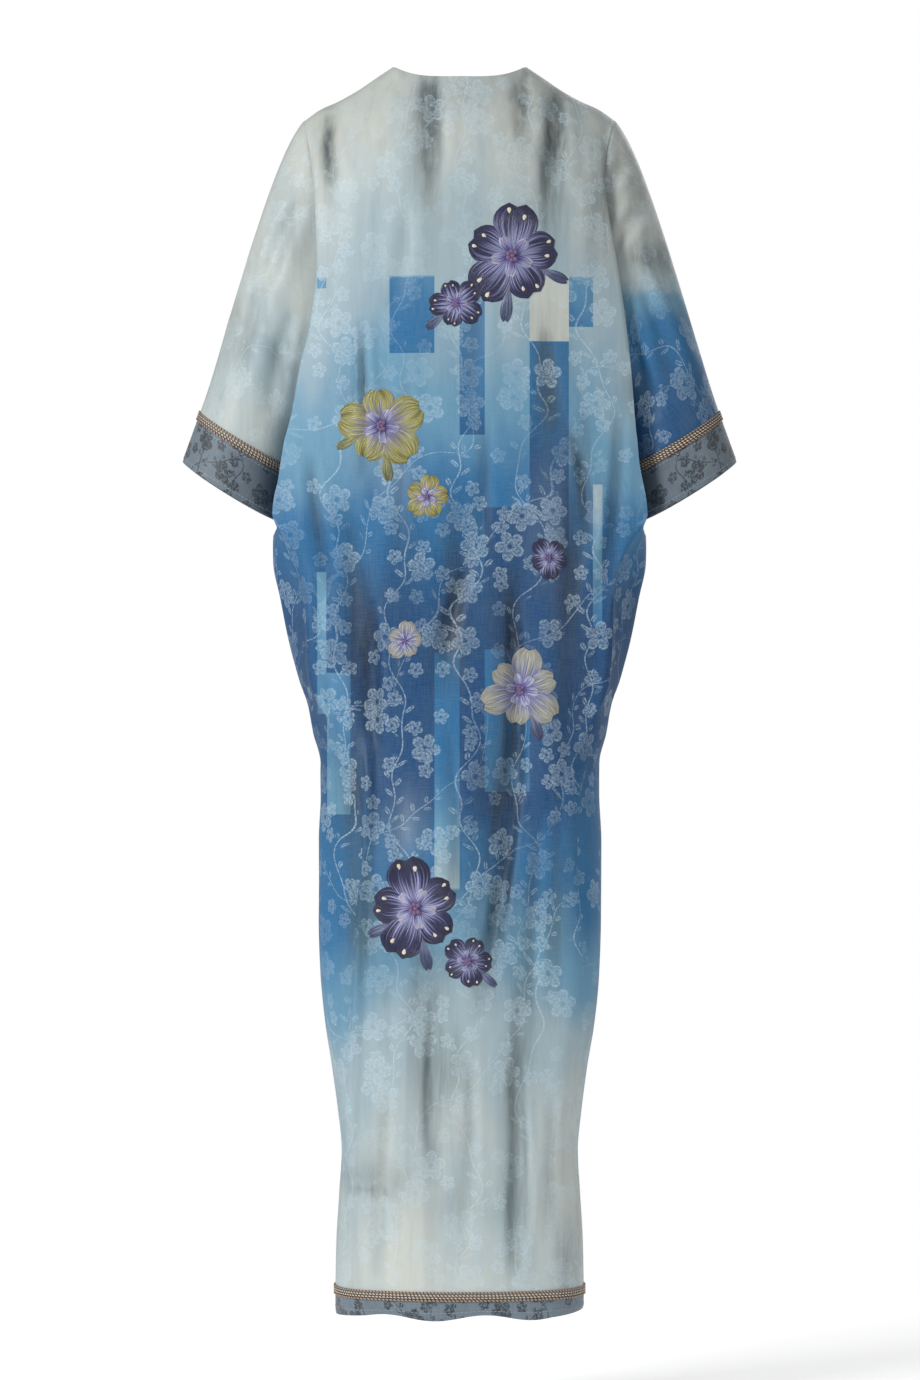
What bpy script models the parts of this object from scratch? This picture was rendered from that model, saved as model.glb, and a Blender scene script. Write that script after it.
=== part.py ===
"""A long silk kaftan, worn: a hollow body, wide elbow sleeves, cuff and hem bands and their braid.

Tables are in millimetres. "drop" is the distance below the neck point, "share" runs from 0 at
the shoulder tip to 1 at the underarm, and depths are measured from the shoulder line, to the
back or to the front. The back faces -Y, the wearer's right is +X, and the origin lies between
the two neck points, where the shoulders carry the dress.
"""
import math
from collections import namedtuple

import bpy
import numpy as np

MM = 0.001

# Cloth and seams
CLOTH_WALL = 1.5
SEAM_GAP = 0.3
BRAID_WALL = 1.2
BRAID_WIDTH = 12.0
MOST_WALL_STRETCH = 1.6

# Neck and shoulders
NECK_HALF = 80.4
BACK_NECK_DROP = 17.8
BACK_NECK_REACH = 55.0
BACK_NECK_ROUNDNESS = 3.4
FRONT_NECK_DROP = 205.0
FRONT_NECK_REACH = 116.0
SHOULDER_CREST = 172.0
ROUNDING = 2.2
FOLD_FULLNESS = 0.7

# Underarm and hem
TIP_DROP = 64.0
UNDERARM_DROP = 450.0
HEM_SEAM_DROP = 1465.5
HEM_END_DROP = 1491.0
HEM_WAVE = 3.5
HEM_WAVES = 5

# Cuffs: the outer end of the ring above the braid and of the ring at the open edge
CUFF_TOP = (310.5, 413.0)
CUFF_END = (332.5, 473.5)
CUFF_TOP_HALF = (65.5, 57.0)
CUFF_END_HALF = (70.0, 60.0)
CUFF_SLOPE = math.radians(31.0)
CUFF_LENGTH = 66.0
CUFF_SAG = 6.0

# Sleeve curve: its direction off the armhole, its slant into the cuff, and how far each one holds
SLEEVE_SPREAD = 0.85
SLEEVE_BELLY = 0.12
SLEEVE_FALL_SIDE = 0.30
SLEEVE_FALL_ENDS = 0.42
SLEEVE_SLANT_TOP = 0.31
SLEEVE_SLANT_LOW = 0.04
SLEEVE_HANG = 0.94
LEAVING_SHARE = 0.12
ARRIVING_SHARE = 0.4

# Grid counts
BACK_NECK_STEPS = 5
FRONT_NECK_STEPS = 2
SHOULDER_STEPS = 6
BACK_FLANK_STEPS = 5
FRONT_FLANK_STEPS = 7
SLEEVE_STEPS = 8
CURVE_SAMPLES = 28

SHARES = (0, 0.06, 0.13, 0.20, 0.28, 0.37, 0.47, 0.57, 0.67, 0.76, 0.84, 0.90, 0.94, 0.97, 1)
DROPS = (450, 470, 490, 510, 527, 542, 556, 575, 600, 635, 675, 715, 752, 790, 832, 880, 935,
         990, 1050, 1110, 1170, 1230, 1290, 1350, 1405, 1459.5, 1465.35)

LineRow = namedtuple("LineRow", "key value")

# Shoulder seam: distance from the centre, and drop
SHOULDER_SEAM = [
    LineRow(80.4, 0),
    LineRow(100, 13),
    LineRow(122, 28),
    LineRow(147, 42),
    LineRow(163, 49),
    LineRow(172, 54),
    LineRow(185.5, 64),
]

DepthRow = namedtuple("DepthRow", "drop back front")

# Depth of the panels on the centre line
CENTRE_DEPTH = [
    DepthRow(0, 48, 40),
    DepthRow(25, 62, 58),
    DepthRow(60, 80, 78),
    DepthRow(110, 97, 98),
    DepthRow(170, 105, 112),
    DepthRow(245, 107, 124),
    DepthRow(330, 103, 122),
    DepthRow(450, 98, 113),
    DepthRow(600, 98, 110),
    DepthRow(830, 99, 106),
    DepthRow(1050, 97, 100),
    DepthRow(1250, 90, 92),
    DepthRow(1495, 91, 90),
]

ArmholeRow = namedtuple(
    "ArmholeRow",
    "share drop fall crest_depth rise crest_left crest_right edge_left edge_right "
    "turn_x turn_y flank_x flank_y",
)

# Upper body: the panel rounds over its crest and tucks in to the armhole edge
ARMHOLE = [
    ArmholeRow(0.00, 64, 0.00, 55, 0, 172, 172, 185.5, 185.5, 4.5, 0, -4.5, 0),
    ArmholeRow(0.06, 72, 0.40, 55, 0, 171, 171, 184.5, 184.0, 4.5, 0, -4.5, 0),
    ArmholeRow(0.13, 92, 0.72, 58, 2, 171, 168, 182.0, 179.0, 4.0, 1, -2.0, 0),
    ArmholeRow(0.22, 125, 0.92, 65, 6, 172, 168, 175.0, 172.0, 4.0, 2, 2.0, 1),
    ArmholeRow(0.33, 175, 1.00, 71, 12, 171, 174, 166.0, 168.0, 3.0, 3, 5.0, 2),
    ArmholeRow(0.50, 245, 1.00, 74, 16, 169, 186, 161.0, 178.0, 3.0, 3, 7.0, 3),
    ArmholeRow(0.66, 312, 1.00, 74, 17, 176, 196, 167.0, 187.0, 3.0, 3, 7.0, 3),
    ArmholeRow(0.80, 372, 1.00, 73, 20, 190, 203, 180.0, 191.0, 2.0, 4, 6.0, 4),
    ArmholeRow(0.90, 420, 1.00, 72, 32, 199, 207, 187.0, 190.0, 1.0, 8, 4.0, 10),
    ArmholeRow(0.96, 443, 1.00, 72, 52, 205, 209, 187.5, 188.0, -1.0, 12, 1.0, 24),
    ArmholeRow(1.00, 450, 1.00, 72, 72, 207, 210, 187.0, 187.0, -2.0, 14, 0.0, 36),
]

SideRow = namedtuple(
    "SideRow",
    "drop side crest_left crest_right crest_depth turn_x turn_y flank_x flank_y seam_in",
)

# Lower body: hollow beside the cuff, full wing below it, taper to the thigh and straight hem
SIDES = [
    SideRow(450, 187, 207, 210, 72, -2, 14, 0, 36, 0),
    SideRow(480, 189, 212, 213, 72, -2, 14, 0, 36, 0),
    SideRow(500, 194.5, 215, 217, 72, -2, 14, 0, 36, 0),
    SideRow(520, 200, 220, 221, 72, -2, 14, 0, 36, 0),
    SideRow(540, 206, 222, 223, 72, -1, 14, 0, 34, 0),
    SideRow(550, 212, 219, 220, 73, 1, 12, 0, 34, 0),
    SideRow(562, 223.5, 208, 210, 74, 8, 10, 0, 36, 0),
    SideRow(592, 224.5, 190, 190, 73, 8, 20, -3, 30, 0),
    SideRow(640, 215.5, 182, 182, 72, 3, 26, -5, 20, 0),
    SideRow(688, 206, 182, 182, 70, 2, 25, -4, 20, 0),
    SideRow(736, 193, 179, 179, 66, 1, 22, -2, 22, 0),
    SideRow(765, 182.5, 164, 166, 68, 4, 18, 0, 26, 2),
    SideRow(800, 176, 138, 150, 74, 14, 14, 0, 32, 8),
    SideRow(835, 167.5, 112, 128, 82, 24, 10, 0, 38, 26),
    SideRow(870, 167.5, 106, 122, 84, 26, 8, 0, 40, 42),
    SideRow(930, 170.3, 104, 120, 84, 28, 8, 0, 42, 55),
    SideRow(1020, 170, 108, 124, 82, 28, 8, 0, 42, 46),
    SideRow(1090, 167.5, 112, 124, 80, 26, 8, 0, 42, 39),
    SideRow(1145, 162, 114, 122, 77, 24, 8, 0, 40, 30),
    SideRow(1200, 153, 112, 116, 74, 22, 8, 0, 38, 18),
    SideRow(1250, 146.5, 110, 112, 71, 20, 8, 0, 36, 9),
    SideRow(1300, 142, 108, 108, 69, 20, 8, 0, 36, 3),
    SideRow(1350, 144.5, 108, 108, 69, 20, 8, 0, 36, 0),
    SideRow(1410, 148, 110, 110, 69, 20, 8, 0, 36, 0),
    SideRow(1495, 149.5, 111, 111, 69, 20, 8, 0, 36, 0),
]
SEAM_IN_RIGHT = 0.55
LEAST_SEAM_INSET = 0.5

FoldRow = namedtuple("FoldRow", "face x_top drop_top x_low drop_low width depth")

# Largest folds: positive depth is a trough, negative a ridge; face -1 is the back
FOLDS = [
    FoldRow(-1, -36, 20, -34, 190, 15, 5),
    FoldRow(-1, 114, 30, 106, 230, 15, 6),
    FoldRow(-1, -116, 300, -112, 560, 12, -6),
    FoldRow(-1, -132, 520, -104, 850, 15, 10),
    FoldRow(-1, 18, 480, -22, 760, 20, 8),
    FoldRow(-1, 63, 600, 66, 880, 17, 13),
    FoldRow(-1, 66, 800, 26, 1140, 17, 12),
    FoldRow(-1, -112, 770, -118, 1010, 11, -7),
    FoldRow(-1, 110, 640, 104, 980, 18, -7),
    FoldRow(-1, 148, 420, 128, 700, 14, 8),
    FoldRow(-1, -27, 1050, -31, 1340, 17, 7),
    FoldRow(-1, 64, 1150, 66, 1450, 15, 7),
    FoldRow(1, -40, 260, -48, 760, 18, 8),
    FoldRow(1, 52, 300, 44, 900, 18, 9),
    FoldRow(1, -104, 480, -92, 1080, 18, 9),
    FoldRow(1, 118, 420, 98, 980, 18, 8),
    FoldRow(1, 2, 700, -10, 1300, 20, 8),
    FoldRow(1, -64, 1060, -60, 1440, 15, 6),
    FoldRow(1, 66, 1040, 62, 1440, 15, 7),
]


def vector(x, y, z):
    return np.array((x, y, z), dtype=float)


def mix(first, second, share):
    return first + (second - first) * share


def read(table, column, where):
    """Smooth value of a column, without overshoot, at a place in the table's first column."""
    keys = [row[0] for row in table]
    values = [getattr(row, column) for row in table]
    where = min(max(where, keys[0]), keys[-1])
    last = len(keys) - 1
    index = min(max(i for i in range(last + 1) if keys[i] <= where), last - 1)
    steps = [(values[i + 1] - values[i]) / (keys[i + 1] - keys[i]) for i in range(last)]

    def slope(i):
        if i == 0 or i == last:
            return steps[0 if i == 0 else last - 1]
        before, after = steps[i - 1], steps[i]
        return 0 if before * after <= 0 else 2 * before * after / (before + after)

    span = keys[index + 1] - keys[index]
    t = (where - keys[index]) / span
    start, finish = values[index], values[index + 1]
    return (
        start * (1 + 2 * t) * (1 - t) ** 2
        + slope(index) * span * t * (1 - t) ** 2
        + finish * t * t * (3 - 2 * t)
        - slope(index + 1) * span * t * t * (1 - t)
    )


def read_side(table, name, where, side):
    return read(table, name + ("_left" if side < 0 else "_right"), where)


def bezier(points, t):
    a, b, c, d = points
    s = 1 - t
    return a * s ** 3 + b * 3 * s * s * t + c * 3 * s * t * t + d * t ** 3


def spaced(points, count):
    """The same line in equal steps along its length."""
    lengths = [0.0]
    for before, after in zip(points, points[1:]):
        lengths.append(lengths[-1] + float(np.linalg.norm(after - before)))
    wanted = [lengths[-1] * i / count for i in range(count + 1)]
    columns = np.array(points)
    return [vector(*(np.interp(w, lengths, columns[:, axis]) for axis in range(3))) for w in wanted]


def fold_depth(face, x, drop):
    """How far the folds press a panel in at a place."""
    total = 0.0
    for fold in FOLDS:
        if fold.face != face or not fold.drop_top < drop < fold.drop_low:
            continue
        along = (drop - fold.drop_top) / (fold.drop_low - fold.drop_top)
        middle = mix(fold.x_top, fold.x_low, along)
        strength = math.sin(math.pi * along) ** FOLD_FULLNESS
        total += fold.depth * strength * math.exp(-(((x - middle) / fold.width) ** 2))
    return total


def centre_depth(face, drop):
    return read(CENTRE_DEPTH, "back" if face < 0 else "front", drop)


def top_line(face, x):
    """Depth and drop of the neckline and the shoulder seam."""
    if x >= NECK_HALF:
        return 0.0, read(SHOULDER_SEAM, "value", x)
    share = x / NECK_HALF
    if face < 0:
        drop = BACK_NECK_DROP * (1 - share ** BACK_NECK_ROUNDNESS)
        return BACK_NECK_REACH * math.sqrt(1 - share * share), drop
    return FRONT_NECK_REACH * math.sqrt(1 - share), FRONT_NECK_DROP * (1 - share)


def column_shares(neck_steps):
    """Places across a panel, from the centre to the crest, with one at the neck point."""
    neck = NECK_HALF / SHOULDER_CREST
    inner = [neck * i / neck_steps for i in range(neck_steps)]
    outer = [mix(neck, 1.0, i / SHOULDER_STEPS) for i in range(SHOULDER_STEPS + 1)]
    return inner + outer


def armhole_edge(face, side, share):
    depth = read(ARMHOLE, "fall", share) * read(ARMHOLE, "crest_depth", share)
    depth = max(depth - read(ARMHOLE, "rise", share), 0.0)
    return vector(side * read_side(ARMHOLE, "edge", share, side), face * depth,
                  -read(ARMHOLE, "drop", share))


def upper_line(face, side, share, columns):
    """Half a panel's row above the underarm: its even part, and its flank to the armhole."""
    lowered = (read(ARMHOLE, "drop", share) - TIP_DROP) / (UNDERARM_DROP - TIP_DROP)
    fall = read(ARMHOLE, "fall", share)
    crest = read_side(ARMHOLE, "crest", share, side)
    crest_depth = read(ARMHOLE, "crest_depth", share)
    even = []
    for column in columns:
        top_depth, top_drop = top_line(face, column * SHOULDER_CREST)
        drop = mix(top_drop, UNDERARM_DROP, lowered)
        full = mix(crest_depth, centre_depth(face, drop), 1 - column ** ROUNDING)
        depth = mix(top_depth, full, fall)
        x = side * column * crest
        depth -= fall * fold_depth(face, x, drop)
        even.append(vector(x, face * depth, -drop))
    edge = armhole_edge(face, side, share)
    return even, flank(face, side, even[-1], edge, ARMHOLE, share)


def flank(face, side, crest_point, edge, table, where):
    """Curve from the crest to the edge of the panel."""
    turn = crest_point.copy()
    turn[0] += side * read(table, "turn_x", where)
    turn[1] -= face * read(table, "turn_y", where)
    turn[2] = mix(crest_point[2], edge[2], 1 / 3)
    close = edge.copy()
    close[0] += side * read(table, "flank_x", where)
    close[1] += face * read(table, "flank_y", where)
    close[2] = mix(crest_point[2], edge[2], 2 / 3)
    points = (crest_point, turn, close, edge)
    return [bezier(points, i / CURVE_SAMPLES) for i in range(CURVE_SAMPLES + 1)]


def lower_line(face, side, drop, columns):
    """Half a panel's row below the underarm, to the widest point of the side."""
    crest = read_side(SIDES, "crest", drop, side)
    crest_depth = read(SIDES, "crest_depth", drop)
    even = []
    for column in columns:
        depth = mix(crest_depth, centre_depth(face, drop), 1 - column ** ROUNDING)
        x = side * column * crest
        even.append(vector(x, face * (depth - fold_depth(face, x, drop)), -drop))
    edge = vector(side * read(SIDES, "side", drop), 0, -drop)
    return even, flank(face, side, even[-1], edge, SIDES, drop)


def side_seam(side, drop, columns):
    """The back's flank, parted at the side seam, which lies behind the widest point below."""
    _even, line = lower_line(-1, side, drop, columns)
    inset = read(SIDES, "seam_in", drop) * (1.0 if side < 0 else SEAM_IN_RIGHT)
    limit = abs(line[-1][0]) - inset
    if inset < LEAST_SEAM_INSET:
        return line, []
    for index in range(len(line) - 1, 0, -1):
        outer, inner = line[index], line[index - 1]
        if abs(inner[0]) <= limit:
            share = (abs(outer[0]) - limit) / (abs(outer[0]) - abs(inner[0]))
            seam = mix(outer, inner, share)
            return line[:index] + [seam], line[index:][::-1] + [seam]
    raise ValueError("the side seam lies off the flank")


def half_row(face, side, row):
    """Points of one row of a panel, from the centre line to its edge."""
    steps = BACK_NECK_STEPS if face < 0 else FRONT_NECK_STEPS
    flank_steps = BACK_FLANK_STEPS if face < 0 else FRONT_FLANK_STEPS
    columns = column_shares(steps)
    if row < len(SHARES) - 1:
        even, line = upper_line(face, side, SHARES[row], columns)
        return even[:-1] + spaced(line, flank_steps)
    drop = DROPS[row - len(SHARES) + 1]
    even, line = lower_line(face, side, drop, columns)
    back_part, front_part = side_seam(side, drop, column_shares(BACK_NECK_STEPS))
    if face < 0:
        line = back_part
    elif front_part:
        line = line + front_part[1:]
    return even[:-1] + spaced(line, flank_steps)


def panel_points(face):
    rows = []
    for row in range(len(SHARES) - 1 + len(DROPS)):
        left = half_row(face, -1, row)
        right = half_row(face, 1, row)
        rows.append(left[::-1] + right[1:])
    return np.array(rows)


def cuff_ring(side, distance):
    """Ring round the arm, at a distance past the braid's upper edge, from the outer end."""
    share = distance / CUFF_LENGTH
    outer_x = mix(CUFF_TOP[0], CUFF_END[0], share)
    outer_drop = mix(CUFF_TOP[1], CUFF_END[1], share)
    half = mix(CUFF_TOP_HALF[0], CUFF_END_HALF[0], share)
    depth = mix(CUFF_TOP_HALF[1], CUFF_END_HALF[1], share)
    across = vector(side * math.cos(CUFF_SLOPE), 0, math.sin(CUFF_SLOPE))
    middle = vector(side * outer_x, 0, -outer_drop) - across * half
    ring = []
    for face, place in armhole_places():
        angle = math.pi * place
        ring.append(middle + across * half * math.cos(angle)
                    + vector(0, face * depth * math.sin(angle), 0)
                    + cuff_axis(side) * CUFF_SAG * math.sin(angle))
    return ring


def cuff_axis(side):
    return vector(side * math.sin(CUFF_SLOPE), 0, -math.cos(CUFF_SLOPE))


def armhole_places():
    """Places round the armhole: down the back from the shoulder tip, then up the front."""
    down = [(-1, share) for share in SHARES]
    up = [(1, share) for share in SHARES[-2:0:-1]]
    return down + up


def sleeve_points(side):
    """Rows from the armhole to the cuff seam, each going round the arm."""
    target = cuff_ring(side, 0)
    rows = [[] for _ in range(SLEEVE_STEPS + 1)]
    for index, (face, share) in enumerate(armhole_places()):
        start = armhole_edge(face, side, share)
        finish = target[index]
        reach = float(np.linalg.norm(finish - start))
        angle = math.pi * share
        leave = unit(vector(SLEEVE_SPREAD * side, face * SLEEVE_BELLY * math.sin(angle),
                            -SLEEVE_FALL_SIDE - SLEEVE_FALL_ENDS * math.cos(angle) ** 2))
        slant = mix(SLEEVE_SLANT_TOP, SLEEVE_SLANT_LOW, share * share)
        arrive = vector(side * slant, 0, -SLEEVE_HANG)
        points = (start, start + leave * LEAVING_SHARE * reach,
                  finish - arrive * ARRIVING_SHARE * reach, finish)
        for row in range(SLEEVE_STEPS + 1):
            rows[row].append(bezier(points, row / SLEEVE_STEPS))
    rows.append(cuff_ring(side, BRAID_WIDTH / 2))
    return np.array(rows)


def normals(grid, closed, turn):
    """Outward directions at the points of a grid; turn is 1 or -1."""
    if closed:
        across = np.roll(grid, -1, axis=1) - np.roll(grid, 1, axis=1)
    else:
        across = np.gradient(grid, axis=1)
    down = np.gradient(grid, axis=0)
    result = np.cross(down, across) * turn
    return result / np.linalg.norm(result, axis=2, keepdims=True)


def unit(array):
    return array / np.linalg.norm(array, axis=-1, keepdims=True)


def flattened(directions, axis):
    """The same directions without their part along an axis."""
    along = directions @ axis
    return unit(directions - along[..., None] * axis)


class Sheet:
    """A grid of outer points, its outward directions and its wall's depth at each point."""

    def __init__(self, grid, closed, turn):
        self.grid = grid.copy()
        self.raw = grid
        self.closed = closed
        self.out = normals(grid, closed, turn)
        self.turn = turn
        self.wall = np.full(grid.shape[:2], CLOTH_WALL)

    def share_direction(self, place, direction):
        """Give an edge point its seam's common direction, with the wall kept at its thickness."""
        meet = max(float(self.out[place] @ direction), 1 / MOST_WALL_STRETCH)
        self.out[place] = direction
        self.wall[place] = CLOTH_WALL / meet


def seam_line(sheet, place, neighbour):
    """Direction of the sheet's edge at a point."""
    row, column = place
    rows, columns = sheet.grid.shape[:2]
    if neighbour[0] == row:
        return sheet.raw[min(row + 1, rows - 1), column] - sheet.raw[row - 1, column]
    return sheet.raw[row, (column + 1) % columns] - sheet.raw[row, column - 1]


def inward(sheet, place, neighbour):
    """Direction from an edge point into its sheet, square to the edge where it runs straight on."""
    line = unit(sheet.raw[neighbour] - sheet.raw[place])
    if neighbour[0] != place[0] and neighbour[1] != place[1]:
        return line
    square = unit(np.cross(sheet.out[place], seam_line(sheet, place, neighbour)))
    return square if square @ line > 0 else -square


def sew(*edges):
    """Part the edge points that meet at one seam point; an edge is (sheet, place, neighbour)."""
    ways = [sheet.out[place] for sheet, place, _near in edges]
    common = unit(unit(sum(ways[:-1])) + ways[-1])
    lines = [inward(*edge) for edge in edges]
    for number, (sheet, place, _near) in enumerate(edges):
        others = [lines[i] for i in range(len(lines)) if i != number]
        nearest = max(float(lines[number] @ other) for other in others)
        half_angle = math.acos(min(max(nearest, -1), 0.98)) / 2
        sheet.grid[place] = sheet.grid[place] + lines[number] * SEAM_GAP / 2 / math.sin(half_angle)
        sheet.share_direction(place, common)


def sew_body(back, front, sleeves):
    """Shoulder seams, armholes and side seams."""
    last_share = len(SHARES) - 1
    rows = back.grid.shape[0]
    columns = {-1: (0, 1), 1: (-1, -2)}
    around = 2 * last_share
    for side, (edge, near) in columns.items():
        sleeve = sleeves[side]
        for step in range(1, SHOULDER_STEPS + 1):
            place = shoulder_places(back, side, step, BACK_FLANK_STEPS)
            other = shoulder_places(front, side, step, FRONT_FLANK_STEPS)
            sew((back, (0, place), (1, place)), (front, (0, other), (1, other)))
        part_neck_points(back, front, side)
        for row in range(1, last_share):
            sew((back, (row, edge), (row, near)), (sleeve, (0, row), (1, row)))
            sew((front, (row, edge), (row, near)),
                (sleeve, (0, around - row), (1, around - row)))
        for row in (0, last_share):
            sew((back, (row, edge), (row + 1, near)), (front, (row, edge), (row + 1, near)),
                (sleeve, (0, row), (1, row)))
        for row in range(last_share + 1, rows):
            sew((back, (row, edge), (row, near)), (front, (row, edge), (row, near)))


def shoulder_places(sheet, side, step, flank_steps):
    """Column on the shoulder seam: steps run from the neck point to the crest."""
    from_edge = flank_steps + SHOULDER_STEPS - step
    return from_edge if side < 0 else sheet.grid.shape[1] - 1 - from_edge


def part_neck_points(back, front, side):
    place = shoulder_places(back, side, 0, BACK_FLANK_STEPS)
    other = shoulder_places(front, side, 0, FRONT_FLANK_STEPS)
    sew((back, (0, place), (1, place)), (front, (0, other), (1, other)))


def part_flank_tops(back, front):
    """The rest of the shoulder seam, between the crest and the shoulder tip."""
    for sheet, flank_steps, face in ((back, BACK_FLANK_STEPS, -1), (front, FRONT_FLANK_STEPS, 1)):
        last = sheet.grid.shape[1] - 1
        for edge_step in range(1, flank_steps):
            for place in (edge_step, last - edge_step):
                sheet.grid[0, place, 1] += face * SEAM_GAP / 2
                sheet.share_direction((0, place), shoulder_up(sheet, place))


def shoulder_up(sheet, place):
    """Direction square to the shoulder seam, with no part along the depth."""
    before, after = sheet.raw[0, place - 1], sheet.raw[0, place + 1]
    line = after - before
    return unit(vector(-line[2], 0, line[0]) * (1 if line[0] > 0 else -1))


def add_solid(name, outer, inner, closed, turn, material):
    """Closed wall between two grids, in triangles."""
    rows, columns = outer.shape[:2]
    points = np.concatenate((outer.reshape(-1, 3), inner.reshape(-1, 3))) * MM
    offset = rows * columns
    faces = []

    def number(row, column, layer):
        return layer * offset + row * columns + column % columns

    def add(a, b, c):
        faces.append((a, b, c) if turn > 0 else (a, c, b))

    def add_edge(a, b, flip):
        """Edge of the wall between two outer points, split the same way on both sides of a seam."""
        if flip:
            a, b = b, a
        c, d = b + offset, a + offset
        if tuple(points[a][::-1]) > tuple(points[b][::-1]):
            add(a, b, c)
            add(a, c, d)
        else:
            add(a, b, d)
            add(b, c, d)

    spans = columns if closed else columns - 1
    for row in range(rows - 1):
        for column in range(spans):
            cell = ((row, column), (row + 1, column), (row + 1, column + 1), (row, column + 1))
            a, b, c, d = (number(r, k, 0) for r, k in cell)
            add(a, b, c)
            add(a, c, d)
            a, b, c, d = (number(r, k, 1) for r, k in cell)
            add(a, c, b)
            add(a, d, c)
    for column in range(spans):
        add_edge(number(0, column, 0), number(0, column + 1, 0), False)
        add_edge(number(rows - 1, column, 0), number(rows - 1, column + 1, 0), True)
    if not closed:
        for row in range(rows - 1):
            add_edge(number(row, 0, 0), number(row + 1, 0, 0), True)
            add_edge(number(row, columns - 1, 0), number(row + 1, columns - 1, 0), False)
    mesh = bpy.data.meshes.new(name)
    mesh.from_pydata([tuple(point) for point in points], [], faces)
    mesh.shade_smooth()
    mesh.set_sharp_from_angle(angle=math.radians(40))
    mesh.materials.append(material)
    part = bpy.data.objects.new(name, mesh)
    bpy.context.scene.collection.objects.link(part)


def add_sheet(name, sheet, material):
    inner = sheet.grid - sheet.out * sheet.wall[..., None]
    add_solid(name, sheet.grid, inner, sheet.closed, sheet.turn, material)


def add_braid(name, rows, out, turn, material):
    """Braid round a seam: the seam's points, moved out."""
    inner = rows + out * SEAM_GAP
    outer = rows + out * (SEAM_GAP + BRAID_WALL)
    add_solid(name, outer, inner, True, turn, material)


def hem_rings(back, front, drops):
    """Rings that continue the panels' last row down through the hem."""
    base = np.concatenate((back.raw[-1], front.raw[-1][-2:0:-1]))
    count = len(base)
    rings = []
    for drop in drops:
        share = (drop - HEM_SEAM_DROP) / (HEM_END_DROP - HEM_SEAM_DROP)
        ring = base.copy()
        for index in range(count):
            wave = HEM_WAVE * math.cos(2 * math.pi * HEM_WAVES * index / count)
            ring[index, 2] = -drop - wave * max(share, 0) ** 3
        rings.append(ring)
    return np.array(rings)


def cloth_material(name, colour, roughness):
    material = bpy.data.materials.new(name)
    material.use_nodes = True
    shader = material.node_tree.nodes["Principled BSDF"]
    shader.inputs["Base Color"].default_value = (*colour, 1)
    shader.inputs["Roughness"].default_value = roughness
    shader.inputs["Metallic"].default_value = 0
    return material


def build():
    for old in list(bpy.data.objects):
        bpy.data.objects.remove(old)
    back = Sheet(panel_points(-1), False, 1)
    front = Sheet(panel_points(1), False, -1)
    sleeves = {side: Sheet(sleeve_points(side), True, -side) for side in (-1, 1)}
    down = vector(0, 0, -1)
    for panel in (back, front):
        panel.out[-1] = flattened(panel.out[-1], down)
        panel.out[-2] = flattened(panel.out[-2], down)
    sew_body(back, front, sleeves)
    part_flank_tops(back, front)
    add_sheet("back", back, cloth_material("blue silk back", (0.24, 0.38, 0.52), 0.45))
    add_sheet("front", front, cloth_material("blue silk front", (0.24, 0.38, 0.52), 0.45))
    for side, word in ((-1, "left"), (1, "right")):
        add_arm(side, word, sleeves[side])
    add_hem(back, front)


def add_arm(side, word, sleeve):
    """Sleeve, cuff band and cuff braid."""
    axis = cuff_axis(side)
    half = BRAID_WIDTH / 2
    for row in (-1, -2):
        sleeve.out[row] = flattened(sleeve.out[row], axis)
    sleeve.grid[-1] = sleeve.grid[-1] - axis * SEAM_GAP / 2
    silk = cloth_material("pale silk sleeve " + word, (0.56, 0.60, 0.58), 0.45)
    add_sheet("sleeve_" + word, sleeve, silk)
    distances = (half, BRAID_WIDTH, mix(BRAID_WIDTH, CUFF_LENGTH, 0.5), CUFF_LENGTH)
    cuff = Sheet(np.array([cuff_ring(side, distance) for distance in distances]), True, -side)
    cuff.out = flattened(cuff.out, axis)
    cuff.grid[0] = cuff.grid[0] + axis * SEAM_GAP / 2
    add_sheet("cuff_" + word, cuff, cloth_material("cuff band " + word, (0.16, 0.22, 0.27), 0.6))
    rows = np.array([cuff_ring(side, distance) for distance in (0, half, BRAID_WIDTH)])
    out = flattened(normals(rows, True, -side), axis)
    braid = cloth_material("cuff braid " + word, (0.42, 0.33, 0.28), 0.6)
    add_braid("cuff_braid_" + word, rows, out, -side, braid)


def add_hem(back, front):
    """Hem band and hem braid, each one ring."""
    half = BRAID_WIDTH / 2
    down = vector(0, 0, -1)
    drops = (HEM_SEAM_DROP + SEAM_GAP / 2, HEM_SEAM_DROP + half, HEM_END_DROP)
    band = Sheet(hem_rings(back, front, drops), True, 1)
    band.out = flattened(band.out, down)
    add_sheet("hem_band", band, cloth_material("hem band", (0.16, 0.22, 0.27), 0.6))
    rows = hem_rings(back, front, (HEM_SEAM_DROP - half, HEM_SEAM_DROP, HEM_SEAM_DROP + half))
    above = np.concatenate((back.raw[-2], front.raw[-2][-2:0:-1]))
    rows[0] = above
    out = flattened(normals(rows, True, 1), down)
    add_braid("hem_braid", rows, out, 1, cloth_material("hem braid", (0.42, 0.33, 0.28), 0.6))


build()
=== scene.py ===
"""Looks of a long silk kaftan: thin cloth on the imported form, its folds, bands, braid and embroidery.

Tables are in millimetres, as in the part. "drop" is the distance below the neck point, "share"
runs from 0 at the shoulder tip to 1 at the underarm. The back faces -Y and the wearer's right is +X.
"""

import math
from collections import namedtuple

import bpy
import numpy as np
from bpy.props import FloatProperty, FloatVectorProperty, IntProperty, PointerProperty
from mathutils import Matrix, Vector
from mathutils.bvhtree import BVHTree


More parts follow.
